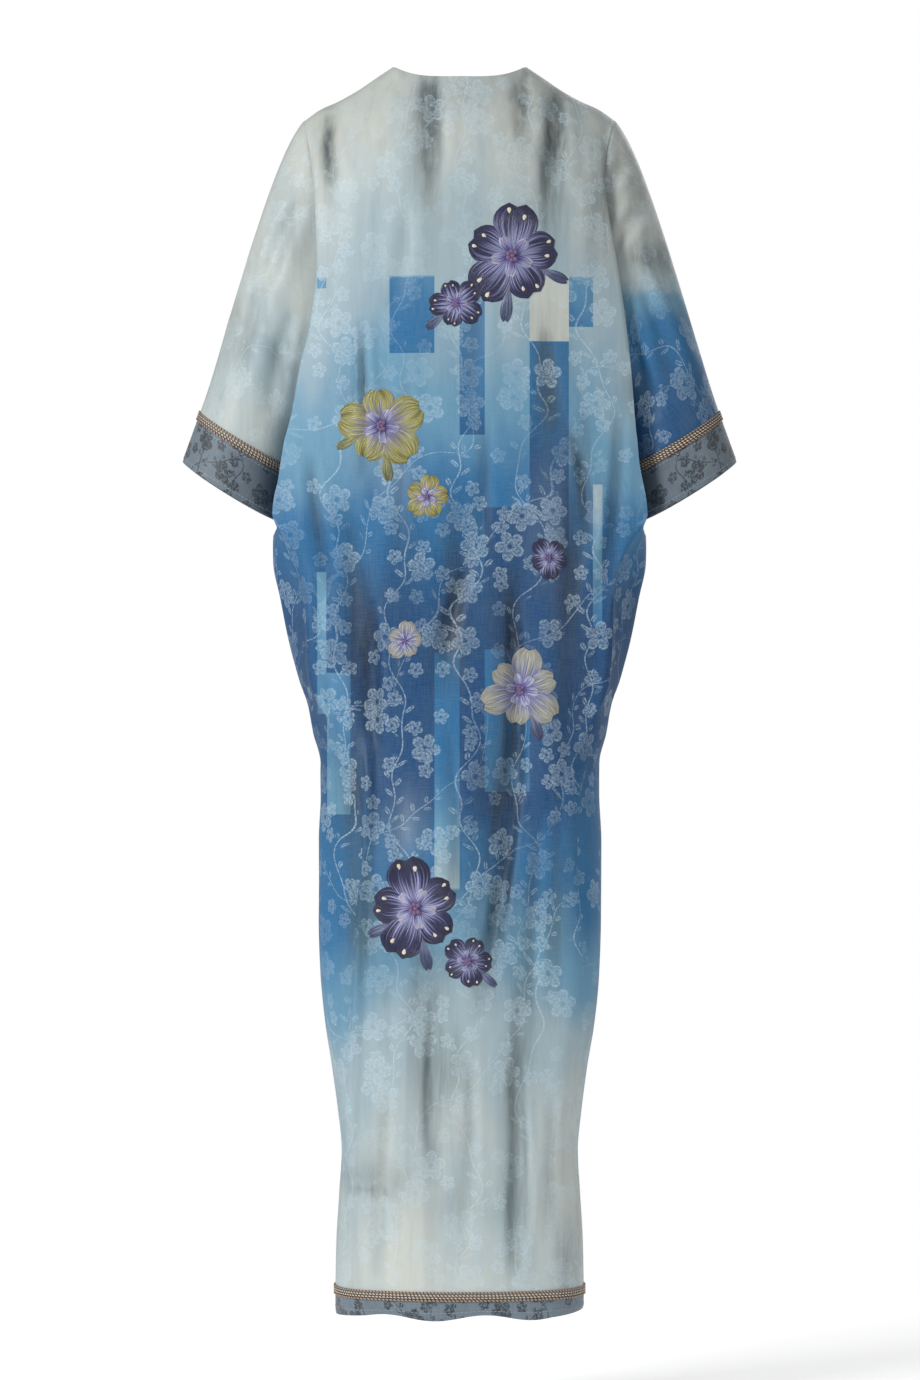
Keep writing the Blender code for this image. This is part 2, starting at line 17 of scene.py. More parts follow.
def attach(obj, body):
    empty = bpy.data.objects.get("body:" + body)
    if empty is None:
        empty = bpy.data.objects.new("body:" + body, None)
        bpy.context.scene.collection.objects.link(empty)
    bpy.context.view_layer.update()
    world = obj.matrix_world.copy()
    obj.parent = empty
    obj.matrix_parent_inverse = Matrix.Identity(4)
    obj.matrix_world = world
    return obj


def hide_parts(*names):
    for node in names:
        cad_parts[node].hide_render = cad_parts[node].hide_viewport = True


bl_info = {
    "name": "Silk kaftan",
    "version": (1, 0, 0),
    "blender": (4, 5, 0),
    "location": "View3D > Sidebar > Kaftan",
    "description": "Dresses the packed kaftan in silk, bands, braid and embroidery",
    "category": "Object",
}

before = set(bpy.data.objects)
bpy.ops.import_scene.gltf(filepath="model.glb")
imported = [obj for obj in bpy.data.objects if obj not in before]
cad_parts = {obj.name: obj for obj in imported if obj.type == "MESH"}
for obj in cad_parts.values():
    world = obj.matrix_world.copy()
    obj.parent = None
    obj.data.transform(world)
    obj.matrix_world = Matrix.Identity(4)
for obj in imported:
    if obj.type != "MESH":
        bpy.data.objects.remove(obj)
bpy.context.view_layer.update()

MM = 0.001
SIDE_WORDS = {-1: "left", 1: "right"}

# Sizes of the part, repeated
BRAID_WIDTH = 12.0
NECK_HALF = 80.4
BACK_NECK_DROP = 17.8
BACK_NECK_REACH = 55.0
BACK_NECK_ROUNDNESS = 3.4
FRONT_NECK_DROP = 205.0
FRONT_NECK_REACH = 116.0
SHOULDER_CREST = 172.0
ROUNDING = 2.2
TIP_DROP = 64.0
UNDERARM_DROP = 450.0
HEM_SEAM_DROP = 1465.5
HEM_END_DROP = 1491.0
HEM_WAVE = 3.5
HEM_WAVES = 5
CUFF_TOP = (310.5, 413.0)
CUFF_END = (332.5, 473.5)
CUFF_TOP_HALF = (65.5, 57.0)
CUFF_END_HALF = (70.0, 60.0)
CUFF_SLOPE = math.radians(31.0)
CUFF_LENGTH = 66.0
CUFF_SAG = 6.0
SEAM_IN_RIGHT = 0.55
LEAST_SEAM_INSET = 0.5
FOLD_FULLNESS = 0.7
SLEEVE_SPREAD = 0.85
SLEEVE_BELLY = 0.12
SLEEVE_FALL_SIDE = 0.30
SLEEVE_FALL_ENDS = 0.42
SLEEVE_SLANT_TOP = 0.31
SLEEVE_SLANT_LOW = 0.04
SLEEVE_HANG = 0.94
LEAVING_SHARE = 0.12
ARRIVING_SHARE = 0.4

# Grid counts of the fine cloth
NECK_STEPS = 20
SHOULDER_STEPS = 24
FLANK_STEPS = 14
CURVE_SAMPLES = 40
SLEEVE_ROWS = 52
CUFF_ROWS = 12
HEM_ROWS = 7
SHARES = np.concatenate((np.linspace(0, 0.88, 60), np.linspace(0.88, 1, 19)[1:]))
DROPS = np.linspace(UNDERARM_DROP, HEM_SEAM_DROP, 180)

SHARP_ANGLE = 50

# Relief of the cloth
CREASE_FULLNESS = 0.6
CREASE_SHOULDER = 0.32
FADE_STEPS = 5
LAZY_RIPPLE = 0.9
QUICK_RIPPLE = 0.45
SLEEVE_RIPPLE = 0.8

# How strongly troughs darken the wash with painted shade: depth in millimetres for a full tone, and the
# most
FOLD_SHADE_DEPTH = 14
CREASE_SHADE_DEPTH = 8
MOST_INK_SHADE = 0.85
MOST_SMOKE_SHADE = 0.4
MOST_SHADE = 0.55

# Braid cords and topstitches
CORD_SIDES = 8
CORD_STEPS = 5
CORD_SWELL = 0.16
STITCH_GAP = 1.45
BRAID_STITCH_GAP = 3.5
EDGE_STITCH_GAP = 6.0
HEM_STITCH_GAP = 7.0

# Embroidery
PETAL_ROWS = 11
PETAL_COLUMNS = 15
LARGE_BLOSSOM = 28

FULL_TURN = 6.283

# Tonal patches of the back and front, in metres from the neck point
PATCH_WIDTH = 0.040
PATCH_HEIGHT = 0.168
PATCH_TOP = -0.262
PATCH_LOW = -0.985
PATCH_REACH = 0.168
PATCH_EDGE = 0.004

LineRow = namedtuple("LineRow", "key value")

# Shoulder seam: distance from the centre, and drop
SHOULDER_SEAM = [LineRow(*row) for row in (
    (80.4, 0),
    (100, 13),
    (122, 28),
    (147, 42),
    (163, 49),
    (172, 54),
    (185.5, 64),
)]

DepthRow = namedtuple("DepthRow", "drop back front")

# Depth of the panels on the centre line
CENTRE_DEPTH = [DepthRow(*row) for row in (
    (0, 48, 40),
    (25, 62, 58),
    (60, 80, 78),
    (110, 97, 98),
    (170, 105, 112),
    (245, 107, 124),
    (330, 103, 122),
    (450, 98, 113),
    (600, 98, 110),
    (830, 99, 106),
    (1050, 97, 100),
    (1250, 90, 92),
    (1495, 91, 90),
)]

ArmholeRow = namedtuple(
    "ArmholeRow",
    "share drop fall crest_depth rise crest_left crest_right edge_left edge_right "
    "turn_x turn_y flank_x flank_y",
)

# Upper body: the panel rounds over its crest and tucks in to the armhole edge
ARMHOLE = [ArmholeRow(*row) for row in (
    (0.00, 64, 0.00, 55, 0, 172, 172, 185.5, 185.5, 4.5, 0, -4.5, 0),
    (0.06, 72, 0.40, 55, 0, 171, 171, 184.5, 184.0, 4.5, 0, -4.5, 0),
    (0.13, 92, 0.72, 58, 2, 171, 168, 182.0, 179.0, 4.0, 1, -2.0, 0),
    (0.22, 125, 0.92, 65, 6, 172, 168, 175.0, 172.0, 4.0, 2, 2.0, 1),
    (0.33, 175, 1.00, 71, 12, 171, 174, 166.0, 168.0, 3.0, 3, 5.0, 2),
    (0.50, 245, 1.00, 74, 16, 169, 186, 161.0, 178.0, 3.0, 3, 7.0, 3),
    (0.66, 312, 1.00, 74, 17, 176, 196, 167.0, 187.0, 3.0, 3, 7.0, 3),
    (0.80, 372, 1.00, 73, 20, 190, 203, 180.0, 191.0, 2.0, 4, 6.0, 4),
    (0.90, 420, 1.00, 72, 32, 199, 207, 187.0, 190.0, 1.0, 8, 4.0, 10),
    (0.96, 443, 1.00, 72, 52, 205, 209, 187.5, 188.0, -1.0, 12, 1.0, 24),
    (1.00, 450, 1.00, 72, 72, 207, 210, 187.0, 187.0, -2.0, 14, 0.0, 36),
)]

SideRow = namedtuple(
    "SideRow",
    "drop side crest_left crest_right crest_depth turn_x turn_y flank_x flank_y seam_in",
)

# Lower body: hollow beside the cuff, full wing below it, taper to the thigh and straight hem
SIDES = [SideRow(*row) for row in (
    (450, 187, 207, 210, 72, -2, 14, 0, 36, 0),
    (480, 189, 212, 213, 72, -2, 14, 0, 36, 0),
    (500, 194.5, 215, 217, 72, -2, 14, 0, 36, 0),
    (520, 200, 220, 221, 72, -2, 14, 0, 36, 0),
    (540, 206, 222, 223, 72, -1, 14, 0, 34, 0),
    (550, 212, 219, 220, 73, 1, 12, 0, 34, 0),
    (562, 223.5, 208, 210, 74, 8, 10, 0, 36, 0),
    (592, 224.5, 190, 190, 73, 8, 20, -3, 30, 0),
    (640, 215.5, 182, 182, 72, 3, 26, -5, 20, 0),
    (688, 206, 182, 182, 70, 2, 25, -4, 20, 0),
    (736, 193, 179, 179, 66, 1, 22, -2, 22, 0),
    (765, 182.5, 164, 166, 68, 4, 18, 0, 26, 2),
    (800, 176, 138, 150, 74, 14, 14, 0, 32, 8),
    (835, 167.5, 112, 128, 82, 24, 10, 0, 38, 26),
    (870, 167.5, 106, 122, 84, 26, 8, 0, 40, 42),
    (930, 170.3, 104, 120, 84, 28, 8, 0, 42, 55),
    (1020, 170, 108, 124, 82, 28, 8, 0, 42, 46),
    (1090, 167.5, 112, 124, 80, 26, 8, 0, 42, 39),
    (1145, 162, 114, 122, 77, 24, 8, 0, 40, 30),
    (1200, 153, 112, 116, 74, 22, 8, 0, 38, 18),
    (1250, 146.5, 110, 112, 71, 20, 8, 0, 36, 9),
    (1300, 142, 108, 108, 69, 20, 8, 0, 36, 3),
    (1350, 144.5, 108, 108, 69, 20, 8, 0, 36, 0),
    (1410, 148, 110, 110, 69, 20, 8, 0, 36, 0),
    (1495, 149.5, 111, 111, 69, 20, 8, 0, 36, 0),
)]

FoldRow = namedtuple("FoldRow", "face x_top drop_top x_low drop_low width depth")

# Largest folds, as the part has them: positive depth is a trough, negative a ridge
FOLDS = [FoldRow(*row) for row in (
    (-1, -36, 20, -34, 190, 15, 5),
    (-1, 114, 30, 106, 230, 15, 6),
    (-1, -116, 300, -112, 560, 12, -6),
    (-1, -132, 520, -104, 850, 15, 10),
    (-1, 18, 480, -22, 760, 20, 8),
    (-1, 63, 600, 66, 880, 17, 13),
    (-1, 66, 800, 26, 1140, 17, 12),
    (-1, -112, 770, -118, 1010, 11, -7),
    (-1, 110, 640, 104, 980, 18, -7),
    (-1, 148, 420, 128, 700, 14, 8),
    (-1, -27, 1050, -31, 1340, 17, 7),
    (-1, 64, 1150, 66, 1450, 15, 7),
    (1, -40, 260, -48, 760, 18, 8),
    (1, 52, 300, 44, 900, 18, 9),
    (1, -104, 480, -92, 1080, 18, 9),
    (1, 118, 420, 98, 980, 18, 8),
    (1, 2, 700, -10, 1300, 20, 8),
    (1, -64, 1060, -60, 1440, 15, 6),
    (1, 66, 1040, 62, 1440, 15, 7),
)]

CreaseRow = namedtuple("CreaseRow", "face x_top drop_top x_low drop_low bend width depth")

# Smaller creases of the body: a trough with soft shoulders, or a ridge
BODY_CREASES = [CreaseRow(*row) for row in (
    (-1, 63, 630, 66, 880, 3, 7, 5.1),
    (-1, 68, 850, 28, 1095, 4, 7, 5.1),
    (-1, 10, 600, -22, 715, -3, 8, 4.5),
    (-1, -104, 640, -104, 815, 2, 8, 5.4),
    (-1, -127, 835, -124, 925, 1, 6, 4.5),
    (-1, -109, 790, -116, 985, 4, 5, -3.9),
    (-1, -115, 920, -140, 1300, 5, 5, -3.9),
    (-1, -27, 1110, -31, 1310, -4, 8, 4.5),
    (-1, 65, 1180, 66, 1440, 6, 8, 4.5),
    (-1, -35, 16, -36, 140, 2, 11, 3.9),
    (-1, 71, 12, 76, 90, 1, 9, 3.0),
    (-1, 114, 22, 108, 170, 3, 10, 4.2),
    (-1, -155, 60, -150, 150, -2, 8, 3.6),
    (-1, -115, 310, -113, 505, 2, 6, 4.8),
    (-1, -122, 318, -121, 500, 2, 4, -2.1),
    (-1, 102, 320, 116, 445, -3, 10, 4.5),
    (-1, 132, 440, 156, 575, 4, 6, 4.2),
    (-1, 190, 420, 168, 645, 5, 8, 5.4),
    (-1, -137, 1342, -71, 1348, 3, 6, 2.1),
    (-1, -60, 370, -72, 610, -4, 8, 2.7),
    (-1, 22, 240, 8, 430, 5, 9, 2.5),
    (-1, 98, 890, 84, 1130, -4, 8, 3.6),
    (-1, -70, 870, -84, 1130, 5, 9, 3.3),
    (-1, 12, 1170, 4, 1430, 4, 8, 3.0),
    (-1, -88, 1220, -96, 1448, -3, 8, 3.3),
    (-1, 110, 1220, 104, 1410, 2, 7, 2.7),
    (-1, 34, 420, 30, 585, -3, 7, 2.4),
    (-1, -14, 790, -6, 985, 4, 8, 2.8),
    (-1, -176, 470, -150, 640, -5, 8, 4.5),
    (-1, 178, 610, 160, 800, 3, 6, -3.3),
    (-1, -178, 610, -160, 800, -3, 6, -3.3),
    (-1, -64, 180, -78, 300, 3, 9, 2.4),
    (1, -42, 262, -50, 560, 5, 9, 4.2),
    (1, 54, 290, 46, 640, -5, 9, 4.2),
    (1, -106, 500, -94, 840, 4, 8, 4.8),
    (1, 118, 440, 100, 760, -3, 8, 4.5),
    (1, 2, 700, -12, 1010, 6, 9, 3.9),
    (1, -8, 980, 4, 1290, -4, 8, 3.9),
    (1, -62, 1070, -60, 1430, 4, 8, 3.9),
    (1, 66, 1060, 62, 1420, -4, 8, 4.2),
    (1, 26, 400, 22, 620, 3, 7, 2.4),
    (1, -74, 300, -88, 470, 3, 8, 2.7),
    (1, 96, 240, 112, 390, -3, 9, 3.0),
    (1, -150, 420, -158, 600, 4, 7, 4.5),
    (1, 168, 430, 150, 640, -4, 7, 4.5),
    (1, -34, 820, -40, 1050, 3, 8, 2.8),
    (1, 98, 860, 92, 1120, 4, 8, 3.3),
    (1, -112, 900, -118, 1200, -4, 7, -3.0),
    (1, 24, 1240, 30, 1440, 2, 7, 2.5),
    (1, -98, 1230, -104, 1446, 3, 7, 2.8),
    (1, 70, 700, 66, 850, 2, 7, 2.7),
)]

# Creases of the sleeves, which run from the shoulder and the underarm to the cuff
SLEEVE_CREASES = [CreaseRow(*row) for row in (
    (-1, 184, 222, 222, 172, 3, 8, 5.4),
    (-1, 172, 152, 202, 108, -2, 8, 3.9),
    (-1, 206, 250, 258, 382, 8, 11, 5.1),
    (-1, 228, 190, 292, 356, -6, 12, 3.9),
    (-1, 200, 330, 232, 428, 5, 9, 4.5),
    (-1, -196, 356, -256, 280, 6, 13, 5.4),
    (-1, -188, 168, -232, 262, -4, 12, 4.2),
    (-1, -214, 200, -288, 372, 7, 12, 4.2),
    (-1, -200, 300, -226, 424, -4, 9, 4.8),
    (-1, -240, 250, -270, 392, 3, 9, 3.0),
    (1, 196, 240, 248, 376, 7, 11, 5.1),
    (1, 222, 180, 290, 352, -6, 12, 4.2),
    (1, 196, 320, 226, 424, 4, 9, 4.5),
    (1, -194, 230, -252, 370, -6, 11, 5.1),
    (1, -222, 196, -286, 350, 5, 12, 3.9),
    (1, -198, 326, -222, 420, -4, 9, 4.5),
)]

BlueRow = namedtuple("BlueRow", "drop middle side")

# How blue the wash is down the body, from 0 for silver grey to 1 for deep blue
BODY_WASH = [BlueRow(*row) for row in (
    (0, 0.04, 0.03),
    (70, 0.07, 0.04),
    (150, 0.16, 0.08),
    (220, 0.22, 0.12),
    (300, 0.31, 0.24),
    (400, 0.43, 0.38),
    (500, 0.62, 0.55),
    (600, 0.86, 0.84),
    (700, 1.00, 0.98),
    (800, 1.04, 0.94),
    (880, 0.96, 0.78),
    (950, 0.70, 0.68),
    (1030, 0.48, 0.60),
    (1110, 0.31, 0.45),
    (1190, 0.19, 0.24),
    (1290, 0.11, 0.16),
    (1495, 0.07, 0.12),
)]

SleeveWashRow = namedtuple("SleeveWashRow", "drop left right")
SLEEVE_WASH = [SleeveWashRow(*row) for row in (
    (60, 0.05, 0.05),
    (200, 0.07, 0.08),
    (255, 0.06, 0.16),
    (290, 0.08, 0.52),
    (340, 0.12, 0.78),
    (420, 0.06, 0.95),
)]

StainRow = namedtuple("StainRow", "kind face x drop wide high strength")

# Stains of the wash: smoky grey-green ones, inky blue ones and pale ones
STAINS = [StainRow(*row) for row in (
    ("smoke", 0, -38, 75, 13, 75, 0.75),
    ("smoke", 0, 70, 60, 12, 60, 0.60),
    ("smoke", 0, 112, 120, 20, 90, 0.80),
    ("smoke", 0, -158, 105, 12, 55, 0.65),
    ("smoke", 0, 168, 165, 18, 80, 0.60),
    ("smoke", 0, 0, 35, 60, 26, 0.30),
    ("smoke", -1, 104, 385, 18, 80, 0.60),
    ("smoke", -1, -122, 420, 14, 105, 0.50),
    ("smoke", -1, 150, 520, 16, 90, 0.45),
    ("smoke", 0, -112, 1010, 24, 85, 0.85),
    ("smoke", 0, -132, 880, 20, 80, 0.55),
    ("smoke", 0, -46, 1075, 22, 95, 0.60),
    ("smoke", 0, 70, 1120, 18, 110, 0.55),
    ("smoke", 0, 8, 960, 16, 80, 0.45),
    ("smoke", 0, 110, 1015, 22, 90, 0.50),
    ("smoke", 0, -20, 1200, 36, 50, 0.40),
    ("smoke", 0, -105, 1328, 46, 20, 0.35),
    ("smoke", 0, 62, 1290, 12, 90, 0.45),
    ("smoke", 0, 20, 1360, 60, 22, 0.22),
    ("ink", 0, 64, 760, 12, 120, 0.75),
    ("ink", 0, 50, 960, 14, 100, 0.85),
    ("ink", 0, -104, 730, 14, 100, 0.55),
    ("ink", 0, -4, 660, 14, 70, 0.45),
    ("ink", 0, 128, 700, 16, 110, 0.40),
    ("ink", 0, -62, 600, 16, 70, 0.35),
    ("ink", -1, 30, 865, 14, 60, 0.50),
    ("ink", 0, 128, 1425, 16, 46, 0.45),
    ("ink", 1, -40, 840, 16, 90, 0.60),
    ("ink", 1, 96, 880, 16, 90, 0.50),
    ("pale", 0, -90, 480, 30, 60, 0.30),
    ("pale", 0, 20, 330, 26, 60, 0.22),
    ("pale", 0, -60, 905, 26, 40, 0.32),
    ("pale", 0, 100, 560, 20, 60, 0.25),
    ("pale", 0, -10, 1110, 40, 40, 0.30),
    ("smoke", 0, -205, 210, 22, 55, 0.30),
    ("smoke", 0, -262, 330, 20, 46, 0.45),
    ("smoke", 0, -214, 352, 16, 40, 0.30),
    ("smoke", 0, 226, 232, 34, 18, 0.75),
    ("smoke", 0, 210, 150, 14, 50, 0.40),
    ("smoke", 0, 284, 300, 16, 20, 0.50),
    ("ink", 0, 214, 392, 22, 26, 0.45),
)]

BlossomRow = namedtuple("BlossomRow", "face x drop radius turn thread petals")

# Embroidered blossoms, in a layout of their own
BLOSSOMS = [BlossomRow(*row) for row in (
    (-1, 62, 236, 58, 12, "violet", 5),
    (-1, -4, 292, 30, 40, "violet", 5),
    (-1, -92, 436, 48, 25, "yellow", 5),
    (-1, -38, 520, 26, 8, "yellow", 5),
    (-1, 106, 592, 24, 55, "violet", 5),
    (-1, 74, 748, 46, 20, "silver", 6),
    (-1, -64, 690, 22, 10, "silver", 5),
    (-1, -52, 1006, 56, 30, "violet", 5),
    (-1, 10, 1068, 30, 66, "violet", 5),
)]

LightRow = namedtuple("LightRow", "name place size share")

# Lights, in metres, with their share of the key light's power
LIGHTS = [
    LightRow("key light", (-2.7, -2.6, 0.9), 1.4, 1.0),
    LightRow("fill light", (2.6, -2.8, 0.0), 2.4, 0.22),
    LightRow("back light", (1.6, 3.2, 0.8), 2.4, 0.22),
]
AIM = (0, 0, -0.7)
CAMERA_PLACE = (0.0005, -6.0, -0.748)
FRAME_HEIGHT = 1.656
SENSOR_WIDTH = 36.0

ThreadRow = namedtuple("ThreadRow", "thread name tip root rim")

# Threads of the embroidery, with the colours of a petal's tip, foot and rim
THREADS = [ThreadRow(*row) for row in (
    ("violet", "navy and violet thread", (34, 36, 84), (158, 160, 206), (22, 26, 58)),
    ("yellow", "yellow thread", (182, 178, 104), (150, 146, 196), (146, 140, 66)),
    ("silver", "silver thread", (176, 178, 174), (122, 126, 190), (196, 192, 172)),
    ("slate", "slate thread", (70, 84, 122), (132, 140, 172), (52, 62, 96)),
    ("olive", "olive thread", (132, 136, 92), (168, 166, 110), (108, 110, 68)),
    ("heart", "heart thread", (172, 172, 212), (84, 78, 160), (206, 204, 222)),
)]

LeafRow = namedtuple("LeafRow", "face x drop length wide turn thread")

# Embroidered leaves beside the blossoms; turn is in degrees from straight right
LEAVES = [LeafRow(*row) for row in (
    (-1, 58, 272, 40, 9, 264, "slate"),
    (-1, 95, 251, 34, 8, 336, "slate"),
    (-1, -18, 304, 26, 7, 220, "slate"),
    (-1, -88, 466, 34, 8, 277, "olive"),
    (-1, -119, 449, 28, 7, 205, "olive"),
    (-1, 84, 775, 32, 8, 290, "slate"),
    (-1, -45, 1040, 38, 9, 282, "slate"),
    (-1, -82, 1024, 28, 8, 210, "slate"),
    (-1, 23, 1080, 26, 6, 318, "slate"),
)]


def paint(red, green, blue):
    """Linear colour from the 0 to 255 values of a colour chart."""
    values = []
    for level in (red, green, blue):
        share = level / 255
        values.append(share / 12.92 if share <= 0.04045 else ((share + 0.055) / 1.055) ** 2.4)
    return (*values, 1.0)


def mix(first, second, share):
    return first + (second - first) * share


def read(table, column, where):
    """Smooth values of a column, without overshoot, at places in the table's first column."""
    keys = np.array([row[0] for row in table], dtype=float)
    values = np.array([getattr(row, column) for row in table], dtype=float)
    where = np.clip(where, keys[0], keys[-1])
    steps = np.diff(values) / np.diff(keys)
    before, after = steps[:-1], steps[1:]
    total = np.where(before + after == 0, 1, before + after)
    inner = np.where(before * after > 0, 2 * before * after / total, 0)
    slopes = np.concatenate((steps[:1], inner, steps[-1:]))
    index = np.clip(np.searchsorted(keys, where, side="right") - 1, 0, len(keys) - 2)
    span = keys[index + 1] - keys[index]
    t = (where - keys[index]) / span
    return (
        values[index] * (1 + 2 * t) * (1 - t) ** 2
        + slopes[index] * span * t * (1 - t) ** 2
        + values[index + 1] * t * t * (3 - 2 * t)
        - slopes[index + 1] * span * t * t * (1 - t)
    )


def read_side(table, name, where, side):
    return read(table, name + "_" + SIDE_WORDS[side], where)


def bezier(points, t):
    a, b, c, d = points
    s = 1 - t
    return a * s ** 3 + b * 3 * s * s * t + c * 3 * s * t * t + d * t ** 3


def along_line(points):
    """Distance along a line at each of its points."""
    steps = np.linalg.norm(np.diff(points, axis=0), axis=1)
    return np.concatenate(([0.0], np.cumsum(steps)))


def values_at(wanted, lengths, values):
    return np.stack([np.interp(wanted, lengths, values[:, axis]) for axis in range(3)], axis=-1)


def spaced(points, count):
    """The same line in equal steps along its length."""
    lengths = along_line(points)
    return values_at(np.linspace(0, lengths[-1], count + 1), lengths, points)


def on_ring(wanted, path, out):
    """Points and outward directions at distances along a closed path."""
    path, out = np.vstack((path, path[:1])), np.vstack((out, out[:1]))
    lengths = along_line(path)
    return values_at(wanted, lengths, path), unit(values_at(wanted, lengths, out))


def ring_length(path):
    return along_line(np.vstack((path, path[:1])))[-1]


def smooth(share):
    share = np.clip(share, 0, 1)
    return share * share * (3 - 2 * share)


def unit(array):
    return array / np.linalg.norm(array, axis=-1, keepdims=True)


def stack(x, y, z):
    return np.stack(np.broadcast_arrays(x, y, z), axis=-1).astype(float)


def fold_depth(face, x, drop):
    """How far the largest folds press a panel in."""
    total = np.zeros(np.broadcast(x, drop).shape)
    for fold in FOLDS:
        if fold.face != face:
            continue
        along = np.clip((drop - fold.drop_top) / (fold.drop_low - fold.drop_top), 0, 1)
        middle = mix(fold.x_top, fold.x_low, along)
        strength = np.maximum(np.sin(math.pi * along), 0) ** FOLD_FULLNESS
        total = total + fold.depth * strength * np.exp(-(((x - middle) / fold.width) ** 2))
    return total


def crease_depth(table, face, x, drop):
    """How far the small creases press the cloth in, across a bent line from end to end."""
    total = np.zeros(x.shape)
    for crease in table:
        if crease.face != face:
            continue
        run = np.array((crease.x_low - crease.x_top, crease.drop_low - crease.drop_top), dtype=float)
        length = math.hypot(*run)
        run = run / length
        from_x, from_drop = x - crease.x_top, drop - crease.drop_top
        along = np.clip((from_x * run[0] + from_drop * run[1]) / length, 0, 1)
        across = from_x * run[1] - from_drop * run[0] - crease.bend * np.sin(math.pi * along)
        strength = np.maximum(np.sin(math.pi * along), 0) ** CREASE_FULLNESS
        width = crease.width * mix(0.8, 1.25, along)
        trough = np.exp(-((across / width) ** 2))
        beside = (np.abs(across) - 1.9 * width) / (0.8 * width)
        rise = CREASE_SHOULDER * np.exp(-(beside ** 2))
        total = total + crease.depth * strength * (trough - rise)
    return total


def top_line(face, x):
    """Depth and drop of the neckline and the shoulder seam."""
    share = np.clip(x / NECK_HALF, 0, 1)
    if face < 0:
        depth = BACK_NECK_REACH * np.sqrt(1 - share * share)
        drop = BACK_NECK_DROP * (1 - share ** BACK_NECK_ROUNDNESS)
    else:
        depth = FRONT_NECK_REACH * np.sqrt(1 - share)
        drop = FRONT_NECK_DROP * (1 - share)
    seam = read(SHOULDER_SEAM, "value", x)
    return np.where(x >= NECK_HALF, 0.0, depth), np.where(x >= NECK_HALF, seam, drop)


def centre_depth(face, drop):
    return read(CENTRE_DEPTH, "back" if face < 0 else "front", drop)


def column_shares():
    neck = NECK_HALF / SHOULDER_CREST
    inner = np.linspace(0, neck, NECK_STEPS + 1)
    return np.concatenate((inner, np.linspace(neck, 1, SHOULDER_STEPS + 1)[1:]))


def armhole_edge(face, side, share):
    depth = read(ARMHOLE, "fall", share) * read(ARMHOLE, "crest_depth", share)
    depth = np.maximum(depth - read(ARMHOLE, "rise", share), 0.0)
    edge = read_side(ARMHOLE, "edge", share, side)
    return stack(side * edge, face * depth, -read(ARMHOLE, "drop", share))


def flank(face, side, crest, edge, table, where):
    """Curves from the crest to the edge of the panel."""
    turn = stack(crest[:, 0] + side * read(table, "turn_x", where),
                 crest[:, 1] - face * read(table, "turn_y", where),
                 mix(crest[:, 2], edge[:, 2], 1 / 3))
    close = stack(edge[:, 0] + side * read(table, "flank_x", where),
                  edge[:, 1] + face * read(table, "flank_y", where),
                  mix(crest[:, 2], edge[:, 2], 2 / 3))
    t = np.linspace(0, 1, CURVE_SAMPLES + 1)[None, :, None]
    return bezier([line[:, None, :] for line in (crest, turn, close, edge)], t)


def upper_part(face, side):
    """Even part and flank of half a panel above the underarm."""
    columns = column_shares()
    shares = SHARES[:-1]
    fall = read(ARMHOLE, "fall", shares)[:, None]
    lowered = (read(ARMHOLE, "drop", shares)[:, None] - TIP_DROP) / (UNDERARM_DROP - TIP_DROP)
    crest = read_side(ARMHOLE, "crest", shares, side)[:, None]
    top_depth, top_drop = top_line(face, columns * SHOULDER_CREST)
    drop = mix(top_drop, UNDERARM_DROP, lowered)
    full = mix(read(ARMHOLE, "crest_depth", shares)[:, None], centre_depth(face, drop),
               1 - columns ** ROUNDING)
    x = side * columns * crest
    depth = mix(top_depth, full, fall) - fall * fold_depth(face, x, drop)
    even = stack(x, face * depth, -drop)
    edge = armhole_edge(face, side, shares)
    return even, flank(face, side, even[:, -1], edge, ARMHOLE, shares)


def lower_part(face, side):
    """Even part and flank of half a panel below the underarm, to the side's widest point."""
    columns = column_shares()
    drop = DROPS[:, None] + 0 * columns
    depth = mix(read(SIDES, "crest_depth", DROPS)[:, None], centre_depth(face, drop),
                1 - columns ** ROUNDING)
    x = side * columns * read_side(SIDES, "crest", DROPS, side)[:, None]
    even = stack(x, face * (depth - fold_depth(face, x, drop)), -drop)
    edge = stack(side * read(SIDES, "side", DROPS), 0, -DROPS)
    return even, flank(face, side, even[:, -1], edge, SIDES, DROPS)


def side_seam(line, inset):
    """The back's flank, parted at the side seam, which lies behind the widest point."""
    if inset < LEAST_SEAM_INSET:
        return line, line[:0]
    limit = abs(line[-1][0]) - inset
    for index in range(len(line) - 1, 0, -1):
        outer, inner = line[index], line[index - 1]
        if abs(inner[0]) <= limit:
            seam = mix(outer, inner, (abs(outer[0]) - limit) / (abs(outer[0]) - abs(inner[0])))
            return np.vstack((line[:index], seam)), np.vstack((line[index:][::-1], seam))
    raise ValueError("the side seam lies off the flank")


def half_panel(face, side):
    """Rows of half a panel, from the centre line to its edge."""
    even, lines = upper_part(face, side)
    rows = [np.vstack((even[i][:-1], spaced(lines[i], FLANK_STEPS))) for i in range(len(even))]
    even, lines = lower_part(face, side)
    back_lines = lines if face < 0 else lower_part(-1, side)[1]
    insets = read(SIDES, "seam_in", DROPS) * (1.0 if side < 0 else SEAM_IN_RIGHT)
    for i, inset in enumerate(insets):
        back_line, front_line = side_seam(back_lines[i], inset)
        line = back_line if face < 0 else np.vstack((lines[i], front_line[1:]))
        rows.append(np.vstack((even[i][:-1], spaced(line, FLANK_STEPS))))
    return np.array(rows)


def normals(grid, closed, turn):
    """Outward directions at the points of a grid; turn is 1 or -1."""
    if closed:
        across = np.roll(grid, -1, axis=1) - np.roll(grid, 1, axis=1)
    else:
        across = np.gradient(grid, axis=1)
    return unit(np.cross(np.gradient(grid, axis=0), across) * turn)


